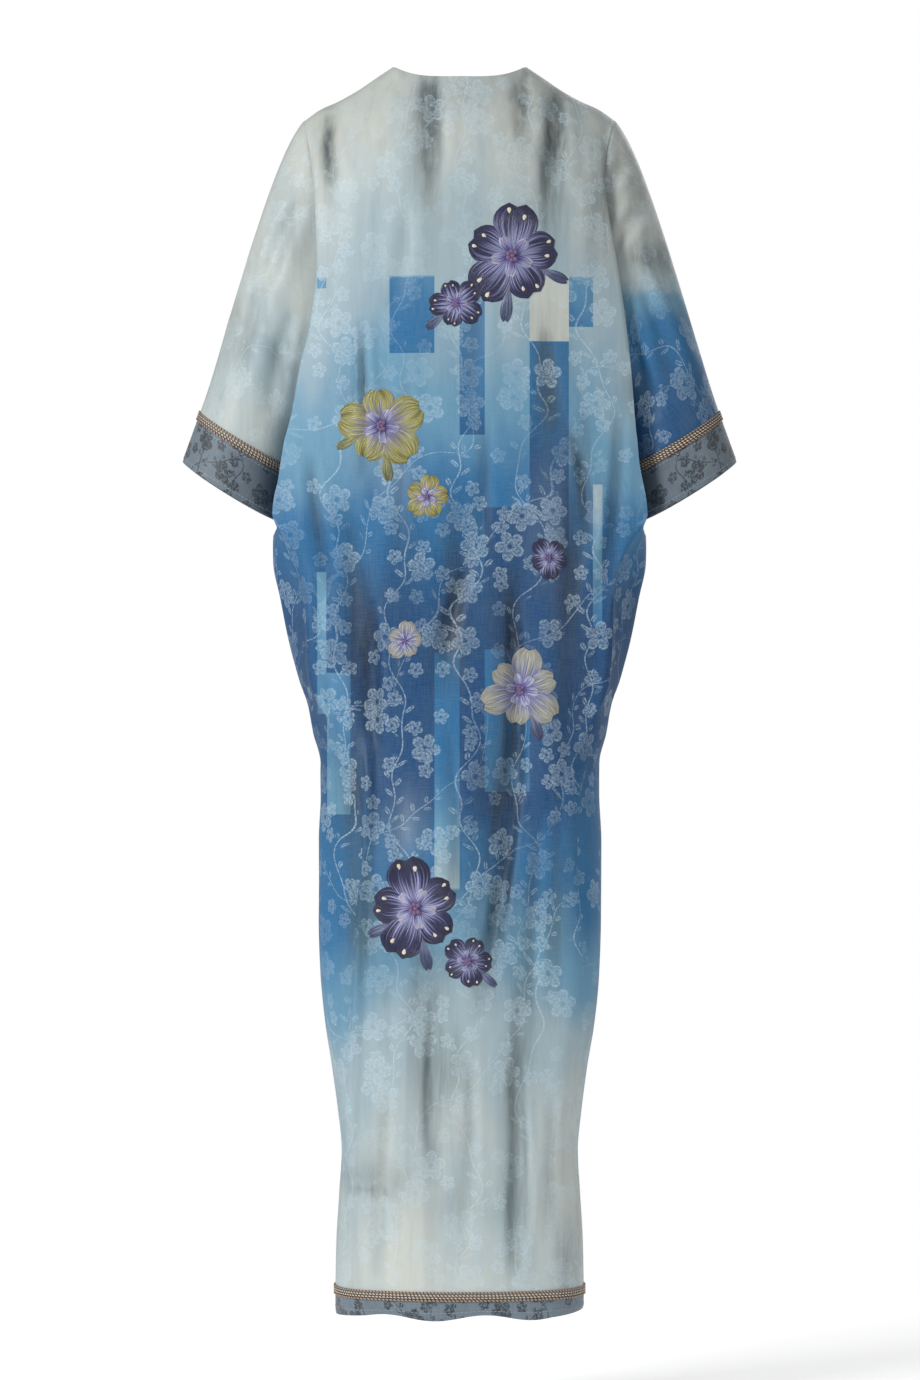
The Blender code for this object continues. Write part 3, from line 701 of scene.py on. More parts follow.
def edge_fade(grid, steps):
    """0 at the sewn edges and 1 a few steps inside them."""
    rows, columns = grid.shape[:2]
    across = np.minimum(np.arange(columns), np.arange(columns)[::-1]) / steps
    return smooth(np.arange(rows) / steps)[:, None] * smooth(across)[None, :]


def panel_grid(face):
    """A panel's outer points with its creases pressed in."""
    left, right = half_panel(face, -1), half_panel(face, 1)
    grid = np.concatenate((left[:, ::-1], right[:, 1:]), axis=1)
    turn = 1 if face < 0 else -1
    out = normals(grid, False, turn)
    depth = crease_depth(BODY_CREASES, face, grid[..., 0], -grid[..., 2])
    depth = depth + cloth_ripple(grid[..., 0], -grid[..., 2], face)
    return grid - out * (depth * edge_fade(grid, FADE_STEPS))[..., None]


def cloth_ripple(x, drop, seed):
    """Slow unevenness of hanging silk."""
    lazy = np.sin(x / 31 + 1.3 * seed + np.sin(drop / 170)) * np.sin(drop / 143 + seed)
    quick = np.sin(x / 14.5 + np.sin(drop / 97 + seed) * 1.7) * np.sin(drop / 61 + 2 * seed)
    return LAZY_RIPPLE * lazy + QUICK_RIPPLE * quick


def armhole_places():
    """Faces and shares round the armhole: down the back from the shoulder tip, up the front."""
    faces = np.concatenate((-np.ones(len(SHARES)), np.ones(len(SHARES) - 2)))
    return faces, np.concatenate((SHARES, SHARES[-2:0:-1]))


def cuff_axis(side):
    return np.array((side * math.sin(CUFF_SLOPE), 0, -math.cos(CUFF_SLOPE)))


def cuff_ring(side, distance):
    """Ring round the arm, at a distance past the braid's upper edge, from the outer end."""
    share = distance / CUFF_LENGTH
    outer_x = mix(CUFF_TOP[0], CUFF_END[0], share)
    outer_drop = mix(CUFF_TOP[1], CUFF_END[1], share)
    half = mix(CUFF_TOP_HALF[0], CUFF_END_HALF[0], share)
    depth = mix(CUFF_TOP_HALF[1], CUFF_END_HALF[1], share)
    across = np.array((side * math.cos(CUFF_SLOPE), 0, math.sin(CUFF_SLOPE)))
    middle = np.array((side * outer_x, 0, -outer_drop)) - across * half
    faces, shares = armhole_places()
    angle = math.pi * shares
    sag = cuff_axis(side) * CUFF_SAG * np.sin(angle)[:, None]
    depths = stack(0 * faces, faces * depth * np.sin(angle), 0)
    return middle + across * half * np.cos(angle)[:, None] + depths + sag


def sleeve_grid(side):
    """Rows from the armhole to the cuff seam, each going round the arm, with their creases."""
    faces, shares = armhole_places()
    start = np.where(faces[:, None] < 0, armhole_edge(-1, side, shares),
                     armhole_edge(1, side, shares))
    finish = cuff_ring(side, 0)
    reach = np.linalg.norm(finish - start, axis=1)[:, None]
    angle = math.pi * shares
    leave = unit(stack(SLEEVE_SPREAD * side, faces * SLEEVE_BELLY * np.sin(angle),
                       -SLEEVE_FALL_SIDE - SLEEVE_FALL_ENDS * np.cos(angle) ** 2))
    slant = mix(SLEEVE_SLANT_TOP, SLEEVE_SLANT_LOW, shares * shares)
    arrive = stack(side * slant, 0, -SLEEVE_HANG)
    points = (start, start + leave * LEAVING_SHARE * reach,
              finish - arrive * ARRIVING_SHARE * reach, finish)
    t = np.linspace(0, 1, SLEEVE_ROWS)
    rows = [bezier(points, value) for value in t]
    grid = np.array(rows + [cuff_ring(side, BRAID_WIDTH / 2)])
    out = normals(grid, True, -side)
    x, y, drop = grid[..., 0], grid[..., 1], -grid[..., 2]
    depth = cloth_ripple(x, drop, side) * SLEEVE_RIPPLE
    for face in (-1, 1):
        near = smooth(face * y / 22)
        depth = depth + near * crease_depth(SLEEVE_CREASES, face, x, drop)
    last = len(grid) - 1
    ends = smooth(np.arange(last + 1) / 5) * smooth(np.arange(last + 1)[::-1] / 6)
    return grid - out * (depth * ends[:, None])[..., None]


def hem_rings(back, front, drops):
    """Rings that continue the panels' last row down through the hem."""
    base = np.concatenate((back[-1], front[-1][-2:0:-1]))
    turn = 2 * math.pi * HEM_WAVES * np.arange(len(base)) / len(base)
    rings = []
    for drop in drops:
        share = (drop - HEM_SEAM_DROP) / (HEM_END_DROP - HEM_SEAM_DROP)
        ring = base.copy()
        ring[:, 2] = -drop - HEM_WAVE * np.cos(turn) * max(share, 0) ** 3
        rings.append(ring)
    return np.array(rings)


def cloth_map(grid, closed):
    """Texture places in metres: across from the middle of the row, and down the cloth."""
    path = np.concatenate((grid, grid[:, :1]), axis=1) if closed else grid
    steps = np.linalg.norm(np.diff(path, axis=1), axis=2)
    across = np.concatenate((np.zeros((len(path), 1)), np.cumsum(steps, axis=1)), axis=1)
    across = across - across[:, [path.shape[1] // 2]]
    falls = np.linalg.norm(np.diff(path, axis=0), axis=2).mean(axis=1)
    down = np.concatenate(([0.0], np.cumsum(falls)))[:, None] + 0 * across
    if not closed:
        down = -path[..., 2]
    return np.stack((across, -down), axis=-1) * MM


def new_piece(name, points, faces, material, places=None, tones=None):
    """Object from points in millimetres, texture places of its face corners and point values."""
    mesh = bpy.data.meshes.new(name)
    mesh.from_pydata((np.asarray(points) * MM).tolist(), [], faces)
    if places is not None:
        mesh.uv_layers.new(name="cloth").data.foreach_set("uv", np.asarray(places).reshape(-1))
    for key, values in (tones or {}).items():
        mesh.attributes.new(key, "FLOAT", "POINT").data.foreach_set("value", values)
    mesh.materials.append(material)
    piece = bpy.data.objects.new(name, mesh)
    bpy.context.scene.collection.objects.link(piece)
    return piece


def shell(name, outer, inner, closed, turn, material, places, tones=None):
    """Closed mesh between two grids; places are texture places, tones named point values."""
    rows, columns = outer.shape[:2]
    layer = rows * columns
    spans = columns if closed else columns - 1
    quads, spots = [], []

    def add(corners):
        """Quads whose corners are (row, column, layer), the last two from the same numbers."""
        ids = [deep * layer + row * columns + column % columns for row, column, deep in corners]
        cells = [row * (columns + 1) + column for row, column, _deep in corners]
        quads.append(np.stack(np.broadcast_arrays(*ids), axis=-1).reshape(-1, 4))
        spots.append(np.stack(np.broadcast_arrays(*cells), axis=-1).reshape(-1, 4))

    row, column = np.meshgrid(np.arange(rows - 1), np.arange(spans), indexing="ij")
    add([(row, column, 0), (row + 1, column, 0), (row + 1, column + 1, 0), (row, column + 1, 0)])
    add([(row, column + 1, 1), (row + 1, column + 1, 1), (row + 1, column, 1), (row, column, 1)])
    along = np.arange(spans)
    add([(0, along, 0), (0, along + 1, 0), (0, along + 1, 1), (0, along, 1)])
    end = rows - 1
    add([(end, along + 1, 0), (end, along, 0), (end, along, 1), (end, along + 1, 1)])
    if not closed:
        down, edge = np.arange(rows - 1), columns - 1
        add([(down + 1, 0, 0), (down, 0, 0), (down, 0, 1), (down + 1, 0, 1)])
        add([(down, edge, 0), (down + 1, edge, 0), (down + 1, edge, 1), (down, edge, 1)])
    faces, cells = np.concatenate(quads), np.concatenate(spots)
    if turn < 0:
        faces, cells = faces[:, ::-1], cells[:, ::-1]
    table = np.zeros((rows, columns + 1, 2))
    table[:, :places.shape[1]] = places[:, :columns + 1]
    corners = table.reshape(-1, 2)[cells.reshape(-1)]
    points = np.concatenate((outer.reshape(-1, 3), inner.reshape(-1, 3)))
    both = {key: np.tile(values.reshape(-1), 2) for key, values in (tones or {}).items()}
    piece = new_piece(name, points, faces.tolist(), material, corners, both)
    piece.data.shade_smooth()
    piece.data.set_sharp_from_angle(angle=math.radians(SHARP_ANGLE))
    return piece


def choose(pieces):
    """Select these objects alone and make the first one active."""
    bpy.ops.object.select_all(action="DESELECT")
    for piece in pieces:
        piece.select_set(True)
    bpy.context.view_layer.objects.active = pieces[0]


def join(name, pieces):
    """One object from several."""
    choose(pieces)
    if len(pieces) > 1:
        bpy.ops.object.join()
    joined = bpy.context.view_layer.objects.active
    joined.name = name
    joined.data.name = name
    bpy.ops.object.select_all(action="DESELECT")
    return joined


def finish(piece, nodes, slot):
    """Attach a piece to the root body and hide the parts it stands for; its material slot is not used."""
    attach(piece, "root")
    if nodes:
        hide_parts(*nodes)


def wash_tones(grid, face, blue):
    """Point values of the wash: how blue it is, its smoky, inky and pale stains, and painted shade in the
    troughs of folds and creases, added to the smoky and inky values.
    """
    x, drop = grid[..., 0], -grid[..., 2]
    tones = {"blue": blue}
    for kind in ("smoke", "ink", "pale"):
        total = np.zeros(x.shape)
        for stain in STAINS:
            if stain.kind != kind or stain.face not in (0, face):
                continue
            away = ((x - stain.x) / stain.wide) ** 2 + ((drop - stain.drop) / stain.high) ** 2
            total = total + stain.strength * np.exp(-away)
        tones[kind] = np.clip(total, 0, 1)
    # Painted shade: the deeper a fold or crease trough, the darker it is painted, as ink in blue cloth and
    # as smoke in silver cloth
    trough = fold_depth(face, x, drop) / FOLD_SHADE_DEPTH
    trough = trough + crease_depth(BODY_CREASES, face, x, drop) / CREASE_SHADE_DEPTH
    share = smooth((blue - 0.25) / 0.4)
    tones["ink"] = np.clip(tones["ink"] + np.clip(trough, 0, MOST_INK_SHADE) * share, 0, 1)
    tones["smoke"] = np.clip(tones["smoke"] + np.clip(trough, 0, MOST_SMOKE_SHADE) * (1 - share), 0, 1)
    return tones


def body_blue(grid):
    drop = -grid[..., 2]
    outward = smooth((np.abs(grid[..., 0]) - 90) / 70)
    return mix(read(BODY_WASH, "middle", drop), read(BODY_WASH, "side", drop), outward)


class Signal:
    """Output of a shader node, for sums and products written as arithmetic."""

    def __init__(self, graph, socket):
        self.graph = graph
        self.socket = socket

    def __add__(self, other):
        return self.graph.math("ADD", self, other)

    def __sub__(self, other):
        return self.graph.math("SUBTRACT", self, other)

    def __rsub__(self, other):
        return self.graph.math("SUBTRACT", other, self)

    def __mul__(self, other):
        return self.graph.math("MULTIPLY", self, other)

    def __truediv__(self, other):
        return self.graph.math("DIVIDE", self, other)

    def __pow__(self, other):
        return self.graph.math("POWER", self, other)

    def __abs__(self):
        return self.graph.math("ABSOLUTE", self)

    def of(self, function):
        """A function of one value, such as SINE or FLOOR."""
        return self.graph.math(function, self)

    def most(self, other):
        return self.graph.math("MAXIMUM", self, other)

    def ramp(self, low, high):
        """0 below low and 1 above high, smooth between."""
        values = {"Value": self, "From Min": low, "From Max": high}
        return self.graph.place("ShaderNodeMapRange", values, "Result", interpolation_type="SMOOTHSTEP")


class Nodes:
    """Short way to place shader nodes in a tree."""

    def __init__(self, tree):
        self.tree = tree

    def node(self, kind, **settings):
        made = self.tree.nodes.new(kind)
        for name, value in settings.items():
            setattr(made, name, value)
        return made

    def put(self, socket, value):
        if isinstance(value, Signal):
            self.tree.links.new(value.socket, socket)
        else:
            socket.default_value = value

    def fill(self, inputs, values):
        for name, value in dict(values).items():
            if value is not None:
                self.put(inputs[name], value)

    def place(self, kind, values=(), output=0, **settings):
        """One output of a new node with these input values and settings."""
        made = self.node(kind, **settings)
        self.fill(made.inputs, values)
        return Signal(self, made.outputs[output])

    def signals(self, made):
        return {output.name: Signal(self, output) for output in made.outputs}

    def math(self, operation, *values, clamp=False):
        return self.place("ShaderNodeMath", enumerate(values), operation=operation, use_clamp=clamp)

    def vector(self, operation, first, second=None, scale=None):
        values = {0: first, 1: second, "Scale": scale}
        output = "Value" if operation == "LENGTH" else "Vector"
        return self.place("ShaderNodeVectorMath", values, output, operation=operation)

    def split(self, vector):
        made = self.node("ShaderNodeSeparateXYZ")
        self.put(made.inputs[0], vector)
        return self.signals(made).values()

    def join(self, x, y):
        return self.place("ShaderNodeCombineXYZ", enumerate((x, y)))

    def noise(self, vector, scale, detail=3.0, roughness=0.55):
        values = {"Vector": vector, "Scale": scale, "Detail": detail, "Roughness": roughness}
        return self.place("ShaderNodeTexNoise", values, "Fac")

    def cells(self, vector, randomness):
        """Colour and centre of the random cells on a plane."""
        made = self.node("ShaderNodeTexVoronoi", voronoi_dimensions="2D", feature="F1")
        self.fill(made.inputs, {"Vector": vector, "Scale": 1.0, "Randomness": randomness})
        outputs = self.signals(made)
        return outputs["Color"], outputs["Position"]

    def luck(self, name, value, dimensions):
        """A random number for each value."""
        return self.place("ShaderNodeTexWhiteNoise", {name: value}, "Value", noise_dimensions=dimensions)

    def blend(self, share, first, second):
        values = {"Factor": share, 6: first, 7: second}
        return self.place("ShaderNodeMix", values, 2, data_type="RGBA", blend_type="MIX")

    def stops(self, value, stops):
        """Colour along a ramp of (place, colour) stops."""
        made = self.node("ShaderNodeValToRGB")
        made.color_ramp.interpolation = "EASE"
        while len(made.color_ramp.elements) < len(stops):
            made.color_ramp.elements.new(0.5)
        for element, (place, colour) in zip(made.color_ramp.elements, stops):
            element.position = place
            element.color = colour
        self.put(made.inputs[0], value)
        return Signal(self, made.outputs[0])

    def attribute(self, name):
        return self.place("ShaderNodeAttribute", (), "Fac", attribute_name=name)

    def cloth(self):
        """The piece's own texture places, in metres."""
        return self.place("ShaderNodeUVMap", uv_map="cloth")

    def bump(self, height, distance, strength):
        return self.place("ShaderNodeBump", {"Strength": strength, "Distance": distance, "Height": height})

    def group(self, tree, vector):
        """Outputs of a group that reads these places."""
        made = self.node("ShaderNodeGroup", node_tree=tree)
        self.put(made.inputs["Vector"], vector)
        return self.signals(made)

    def coat(self, values):
        """Values and signals for the sockets of the material's shader."""
        self.fill(self.tree.nodes["Principled BSDF"].inputs, values)


def group_tree(name, outputs, draw):
    """Group that reads a Vector, made once; draw gives the signals of its outputs."""
    if name in bpy.data.node_groups:
        return bpy.data.node_groups[name]
    tree = bpy.data.node_groups.new(name, "ShaderNodeTree")
    tree.interface.new_socket("Vector", in_out="INPUT", socket_type="NodeSocketVector")
    for label in outputs:
        tree.interface.new_socket(label, in_out="OUTPUT", socket_type="NodeSocketFloat")
    graph = Nodes(tree)
    vector = Signal(graph, graph.node("NodeGroupInput").outputs["Vector"])
    leave = graph.node("NodeGroupOutput").inputs
    graph.fill(leave, zip(outputs, draw(graph, vector)))
    return tree


def weave_group():
    """Fine threads and slubs of silk. Height for bump, Tone for colour."""
    def draw(graph, vector):
        x, y, _z = graph.split(vector)
        weft = graph.noise(graph.join(x * 60, y * 900), 1.0)
        warp = graph.noise(graph.join(x * 900, y * 45), 1.0)
        height = (weft + warp) * 0.5
        return height, height.ramp(0.35, 0.65)

    return group_tree("silk weave", ("Height", "Tone"), draw)


def flower_mask(graph, vector, pitch, radius, chance, shift):
    """Five-petalled flowers, one in some of the cells of a random grid."""
    moved = graph.vector("SCALE", vector, scale=1 / pitch)
    moved = graph.vector("ADD", moved, (shift, shift * 0.7, 0))
    colour, centre = graph.cells(moved, 0.82)
    local = graph.vector("SCALE", graph.vector("SUBTRACT", moved, centre), scale=pitch)
    x, y, _z = graph.split(local)
    luck, spin, _blue = graph.split(colour)
    angle = graph.math("ARCTAN2", y, x) + spin * FULL_TURN
    away = graph.vector("LENGTH", local)
    lobe = abs((angle * 2.5).of("COSINE")) ** 0.55
    inside = lobe * (radius * 0.5) + radius * 0.5 - away
    rim = 1 - inside.ramp(radius * 0.12, radius * 0.34)
    veins = (angle * 35).of("COSINE") * 0.16 + 0.62
    petals = inside.ramp(0.0, radius * 0.09) * veins.most(rim)
    petals = petals * away.ramp(radius * 0.12, radius * 0.2)
    dots = (angle * 10).of("COSINE").ramp(0.1, 0.5)
    ring = 1 - abs(away - radius * 0.3).ramp(radius * 0.03, radius * 0.07)
    return petals.most(ring * dots) * graph.math("LESS_THAN", luck, chance)


def spray_mask(graph, vector, gap, sway, leaf, thick):
    """Bent branches, gap apart, with paired leaves along them."""
    x, y, _z = graph.split(vector)
    slow = (y * (FULL_TURN / (gap * 2.3))).of("SINE")
    fast = (y * (FULL_TURN / (gap * 0.83)) + 1.1).of("SINE")
    bend = slow * sway + fast * (sway * 0.35)
    wander = graph.noise(vector, 9.0, 1.0) * (sway * 5) + bend
    local = (((x + wander) / gap).of("FRACT") - 0.5) * gap
    away = abs(local)
    stem = 1 - away.ramp(thick * 0.6, thick)
    step = (y / (leaf * 2.7) + local.of("SIGN") * 0.22).of("FRACT")
    along = (step - 0.5) * (leaf * 2.7)
    side = away - leaf * 0.95
    first = side * 0.77 + along * 0.64
    second = along * 0.77 - side * 0.64
    round_leaf = (first / (leaf * 0.85)) ** 2 + (second / (leaf * 0.34)) ** 2
    rib = abs(second).ramp(thick * 0.25, thick * 0.5)
    leaves = (1 - round_leaf.ramp(0.75, 1.0)) * rib * graph.noise(vector, 17.0, 1.0).ramp(0.42, 0.5)
    return stem.most(leaves)


def blossom_group(name, size, even, chance):
    """Blossom branches of a jacquard. Even is their least strength, chance their fullness."""
    def draw(graph, vector):
        large = flower_mask(graph, vector, 0.058 * size, 0.020 * size, chance, 3.1)
        small = flower_mask(graph, vector, 0.034 * size, 0.0105 * size, chance * 0.8, 11.7)
        spray = spray_mask(graph, vector, 0.084 * size, 0.014 * size, 0.0085 * size, 0.0013 * size)
        slant = {"Rotation": (0, 0, math.radians(38)), "Vector": vector}
        slanted = graph.place("ShaderNodeMapping", slant)
        second = spray_mask(graph, slanted, 0.13 * size, 0.02 * size, 0.007 * size, 0.0011 * size)
        mask = large.most(small).most(spray.most(second * 0.8))
        frost = graph.noise(vector, 330.0, 3.0, 0.8).ramp(0.42, 0.56) * 0.8 + 0.2
        patchy = graph.noise(vector, 7.0, 2.0).ramp(0.36, 0.60) * (1 - even) + even
        return [mask * (frost * patchy)]

    return group_tree(name, ["Mask"], draw)


def patch_group():
    """Upright rectangular patches of tone. Deep and Pale are masks."""
    def draw(graph, vector):
        x, _y, z = graph.split(vector)
        uneven = (x * 41).of("SINE") * 0.011
        lane = ((x + uneven) / PATCH_WIDTH).of("FLOOR")
        start = graph.luck("W", lane, "1D") * 0.19
        block = ((z + start) / PATCH_HEIGHT).of("FLOOR")
        luck = graph.luck("Vector", graph.join(lane, block), "2D")
        inside = z.ramp(PATCH_LOW, PATCH_LOW + PATCH_EDGE)
        inside = inside * (1 - z.ramp(PATCH_TOP, PATCH_TOP + PATCH_EDGE))
        inside = inside * (1 - abs(x).ramp(PATCH_REACH, PATCH_REACH + PATCH_EDGE / 2))
        deep = graph.math("LESS_THAN", luck, 0.22)
        pale = graph.math("GREATER_THAN", luck, 0.83)
        return inside * deep, inside * pale

    return group_tree("tonal patches", ("Deep", "Pale"), draw)


def stitch_group():
    """Satin stitches along a petal. Thread is a line pattern, Root is 1 at its foot."""
    def draw(graph, vector):
        x, y, _z = graph.split(vector)
        lines = graph.noise(graph.join(x * 15, y * 1.4), 1.0, 2.0)
        uneven = graph.noise(graph.join(x * 11, y * 0.6), 1.0, 1.0)
        reach = y + (uneven - 0.5) * 1.7
        return lines.ramp(0.36, 0.64), 1 - reach.ramp(0.22, 0.60), reach.ramp(0.78, 1.0)

    return group_tree("satin stitch", ("Thread", "Root", "Rim"), draw)


def new_material(name):
    """Material and the short way to place its nodes."""
    material = bpy.data.materials.new(name)
    material.use_nodes = True
    return material, Nodes(material.node_tree)


def opaque(colour):
    return (*colour, 1.0)


def silk_material(name, settings, patched):
    """Washed silk with tone-on-tone blossom branches, stains, painted shade in the fold and crease
    troughs, slubs and sheen.
    """
    material, graph = new_material(name)
    place = graph.cloth()
    spot = graph.place("ShaderNodeTexCoord", (), "Object")
    weave = graph.group(weave_group(), place)
    blossoms = graph.group(blossom_group("blossom branches", 0.94, 0.34, 0.68), place)["Mask"]
    cloud = graph.noise(graph.vector("MULTIPLY", spot, (9.0, 9.0, 3.2)), 1.0, 4.0, 0.6)
    streak = graph.noise(graph.vector("MULTIPLY", spot, (46.0, 30.0, 5.0)), 1.0, 4.0, 0.65)
    blue = graph.attribute("blue") + (cloud - 0.5) * 0.42
    if patched:
        tone = graph.group(patch_group(), spot)
        blue = blue + tone["Deep"] * 0.34 - tone["Pale"] * 0.36
    colour = graph.stops(blue, [
        (0.0, opaque(settings.silver)),
        (0.22, paint(152, 172, 180)),
        (0.45, opaque(settings.pale_blue)),
        (0.68, paint(30, 103, 152)),
        (1.0, opaque(settings.deep_blue)),
    ])
    rough = graph.math("MULTIPLY_ADD", streak, 2.2, -0.35, clamp=True)
    lift = blue.ramp(0.0, 0.6) * 0.04 + 0.47
    for share, tint in (
        # Smoke and ink values are real stains plus painted shade in the troughs; these two colours paint
        # both
        (graph.attribute("smoke") * rough * 0.95, opaque(settings.smoke)),
        (graph.attribute("ink") * rough * 0.95, paint(4, 22, 46)),
        (graph.attribute("pale") * cloud.ramp(0.3, 0.7), paint(186, 200, 204)),
        (streak.ramp(0.42, 0.72) * 0.17, paint(78, 98, 110)),
        (blossoms * lift, paint(190, 212, 224)),
        (weave["Tone"] * 0.05, paint(206, 214, 214)),
    ):
        colour = graph.blend(share, colour, tint)
    graph.coat({
        "Base Color": colour,
        "Roughness": blossoms * -0.10 + 0.50,
        "Normal": graph.bump(weave["Height"] + blossoms * 0.35, 0.00035, 0.6),
        "Sheen Weight": settings.sheen,
        "Sheen Roughness": 0.35,
        "Sheen Tint": (0.95, 0.97, 1.0, 1.0),
        "Specular IOR Level": 0.32,
    })
    return material


def band_material(name, settings):
    """Slate jacquard with charcoal flower sprays, darker where the tone says so."""
    material, graph = new_material(name)
    place = graph.cloth()
    weave = graph.group(weave_group(), place)
    sprays = graph.group(blossom_group("band flowers", 0.66, 0.8, 0.7), place)["Mask"].ramp(0.08, 0.42)
    ground = graph.blend(graph.noise(place, 26.0), opaque(settings.band), paint(106, 120, 130))
    ground = graph.blend(weave["Tone"] * 0.25, ground, paint(150, 160, 166))
    colour = graph.blend(sprays * 0.88, ground, paint(30, 34, 42))
    graph.coat({
        "Base Color": graph.blend(graph.attribute("shade"), colour, paint(38, 50, 66)),
        "Roughness": sprays * -0.14 + 0.62,
        "Normal": graph.bump(weave["Height"] + sprays * 0.8, 0.0004, 0.8),
        "Sheen Weight": 0.15,
    })
    return material


def cord_material(settings):
    """Cord of two twisted threads, light and dark; rows differ in their light thread."""
    material, graph = new_material("twisted braid cord")
    x, y, _z = graph.split(graph.cloth())
    light = abs((x + y).of("FRACT") - 0.5).ramp(0.16, 0.22)
    thread = graph.blend(graph.attribute("row"), opaque(settings.rose), paint(206, 192, 172))
    fray = graph.noise(graph.join(x * 3, y * 9), 1.0)
    thread = graph.blend(fray * 0.45, thread, paint(118, 98, 84))
    graph.coat({
        "Base Color": graph.blend(light, paint(38, 34, 38), thread),
        "Roughness": fray * 0.2 + 0.42,
        "Sheen Weight": 0.1,
    })
    return material


def thread_material(name, tip, root, rim):
    """Satin-stitched thread, with the colours of a petal's tip, foot and outer rim."""
    material, graph = new_material(name)
    stitches = graph.group(stitch_group(), graph.cloth())
    colour = graph.blend(stitches["Rim"], tip, rim)
    colour = graph.blend(stitches["Root"], colour, root)
    dark = graph.blend(0.55, colour, (0.01, 0.012, 0.03, 1))
    graph.coat({
        "Base Color": graph.blend(stitches["Thread"], dark, colour),
        "Roughness": stitches["Thread"] * -0.12 + 0.46,
        "Normal": graph.bump(stitches["Thread"], 0.0006, 0.9),
        "Sheen Weight": 0.2,
    })
    return material


def plain_thread(name, colour):
    material, graph = new_material(name)
    graph.coat({"Base Color": colour, "Roughness": 0.5, "Sheen Weight": 0.15})
    return material


def wall_of(grid, closed, turn, settings):
    """Inner points of a cloth wall, and outer points with a slight dip along the sewn edges."""
    out = normals(grid, closed, turn)
    dip = np.zeros(grid.shape[:2])
    dip[0] = settings.seam_dip / MM
    if closed:
        dip[-1] = settings.seam_dip / MM
    else:
        dip[:, 0] = settings.seam_dip / MM
        dip[:, -1] = settings.seam_dip / MM
    outer = grid - out * dip[..., None]
    return outer, grid - out * (settings.wall / MM + dip[..., None])


def cloth_piece(name, grid, closed, turn, material, tones, settings):
    outer, inner = wall_of(grid, closed, turn, settings)
    return shell(name, outer, inner, closed, turn, material, cloth_map(grid, closed), tones)


def cord_round(name, path, out, radius, pitch, row, material):
    """A twisted cord on a closed path: a tube whose two strands swell in turn."""
    total = ring_length(path)
    twists = max(int(round(total / pitch)), 8)
    count = twists * CORD_STEPS
    middle, up = on_ring(np.arange(count) * total / count, path, out)
    run = unit(np.roll(middle, -1, axis=0) - np.roll(middle, 1, axis=0))
    across = unit(np.cross(run, up))
    up = unit(np.cross(across, run))
    angles = (2 * math.pi * np.arange(CORD_SIDES) / CORD_SIDES)[:, None]
    twist = 2 * math.pi * twists * np.arange(count) / count
    swell = 1 + CORD_SWELL * np.cos(2 * (angles - twist / 2))
    reach = (radius * swell / (1 + CORD_SWELL))[..., None]
    grid = middle + (across * np.cos(angles)[..., None] + up * np.sin(angles)[..., None]) * reach
    side, step = np.meshgrid(np.arange(CORD_SIDES), np.arange(count), indexing="ij")
    corners = [(side, step), (side, step + 1), (side + 1, step + 1), (side + 1, step)]
    faces = np.stack([i % CORD_SIDES * count + j % count for i, j in corners], axis=-1)
    places = np.array([(j * twists / count, i / CORD_SIDES) for i, j in corners])
    points = grid.reshape(-1, 3)
    piece = new_piece(name, points, faces.reshape(-1, 4).tolist(), material,
                      places.transpose(2, 3, 0, 1), {"row": np.full(len(points), row)})
    piece.data.shade_smooth()
    return piece


def turned_out(piece):
    """Recalculate a closed mesh's normals to point out."""
    choose([piece])
    bpy.ops.object.mode_set(mode="EDIT")
    bpy.ops.mesh.select_all(action="SELECT")
    bpy.ops.mesh.normals_make_consistent(inside=False)
    bpy.ops.object.mode_set(mode="OBJECT")
    piece.select_set(False)


def stitch_row(name, path, out, material, settings):
    """Running stitches along a closed path, each a low bar with rounded ends."""
    total = ring_length(path)
    length = settings.stitch_length / MM
    count = int(total / (length * STITCH_GAP))
    points, faces = [], []
    half, rise = settings.thread_width / MM / 2, settings.thread_width / MM * 0.55
    for index in range(count):
        ends = np.array((0.0, 0.18, 0.82, 1.0)) * length + index * total / count
        middle, up = on_ring(ends, path, out)
        run = unit(middle[-1] - middle[0])
        base = len(points)
        for place, (centre, lift) in enumerate(zip(middle, up)):
            side = unit(np.cross(run, lift))
            size = 0.45 if place in (0, 3) else 1.0
            for across, high in ((-1, -0.5), (-0.7, 0.75), (0.7, 0.75), (1, -0.5)):
                points.append(centre + side * half * across * size + lift * rise * high * size)
        for place in range(3):
            for corner in range(4):
                a = base + place * 4 + corner
                b = base + place * 4 + (corner + 1) % 4
                faces.append((a, b, b + 4, a + 4))
        faces.append((base + 3, base + 2, base + 1, base))
        faces.append((base + 12, base + 13, base + 14, base + 15))
    piece = new_piece(name, points, faces, material)
    turned_out(piece)
    return piece


class Surface:
    """Finds places on a finished panel by looking at it square from its face."""

    def __init__(self, piece, face):
        mesh = piece.data
        corners = [vertex.co for vertex in mesh.vertices]
        self.tree = BVHTree.FromPolygons(corners, [polygon.vertices for polygon in mesh.polygons])
        self.face = face

    def at(self, x, drop):
        start = Vector((x * MM, self.face * 0.6, -drop * MM))
        place, normal, _index, _distance = self.tree.ray_cast(start, Vector((0, -self.face, 0)))
        if place is None:
            raise ValueError("an embroidered piece lies off its panel")
        return np.array(place) / MM, np.array(normal)


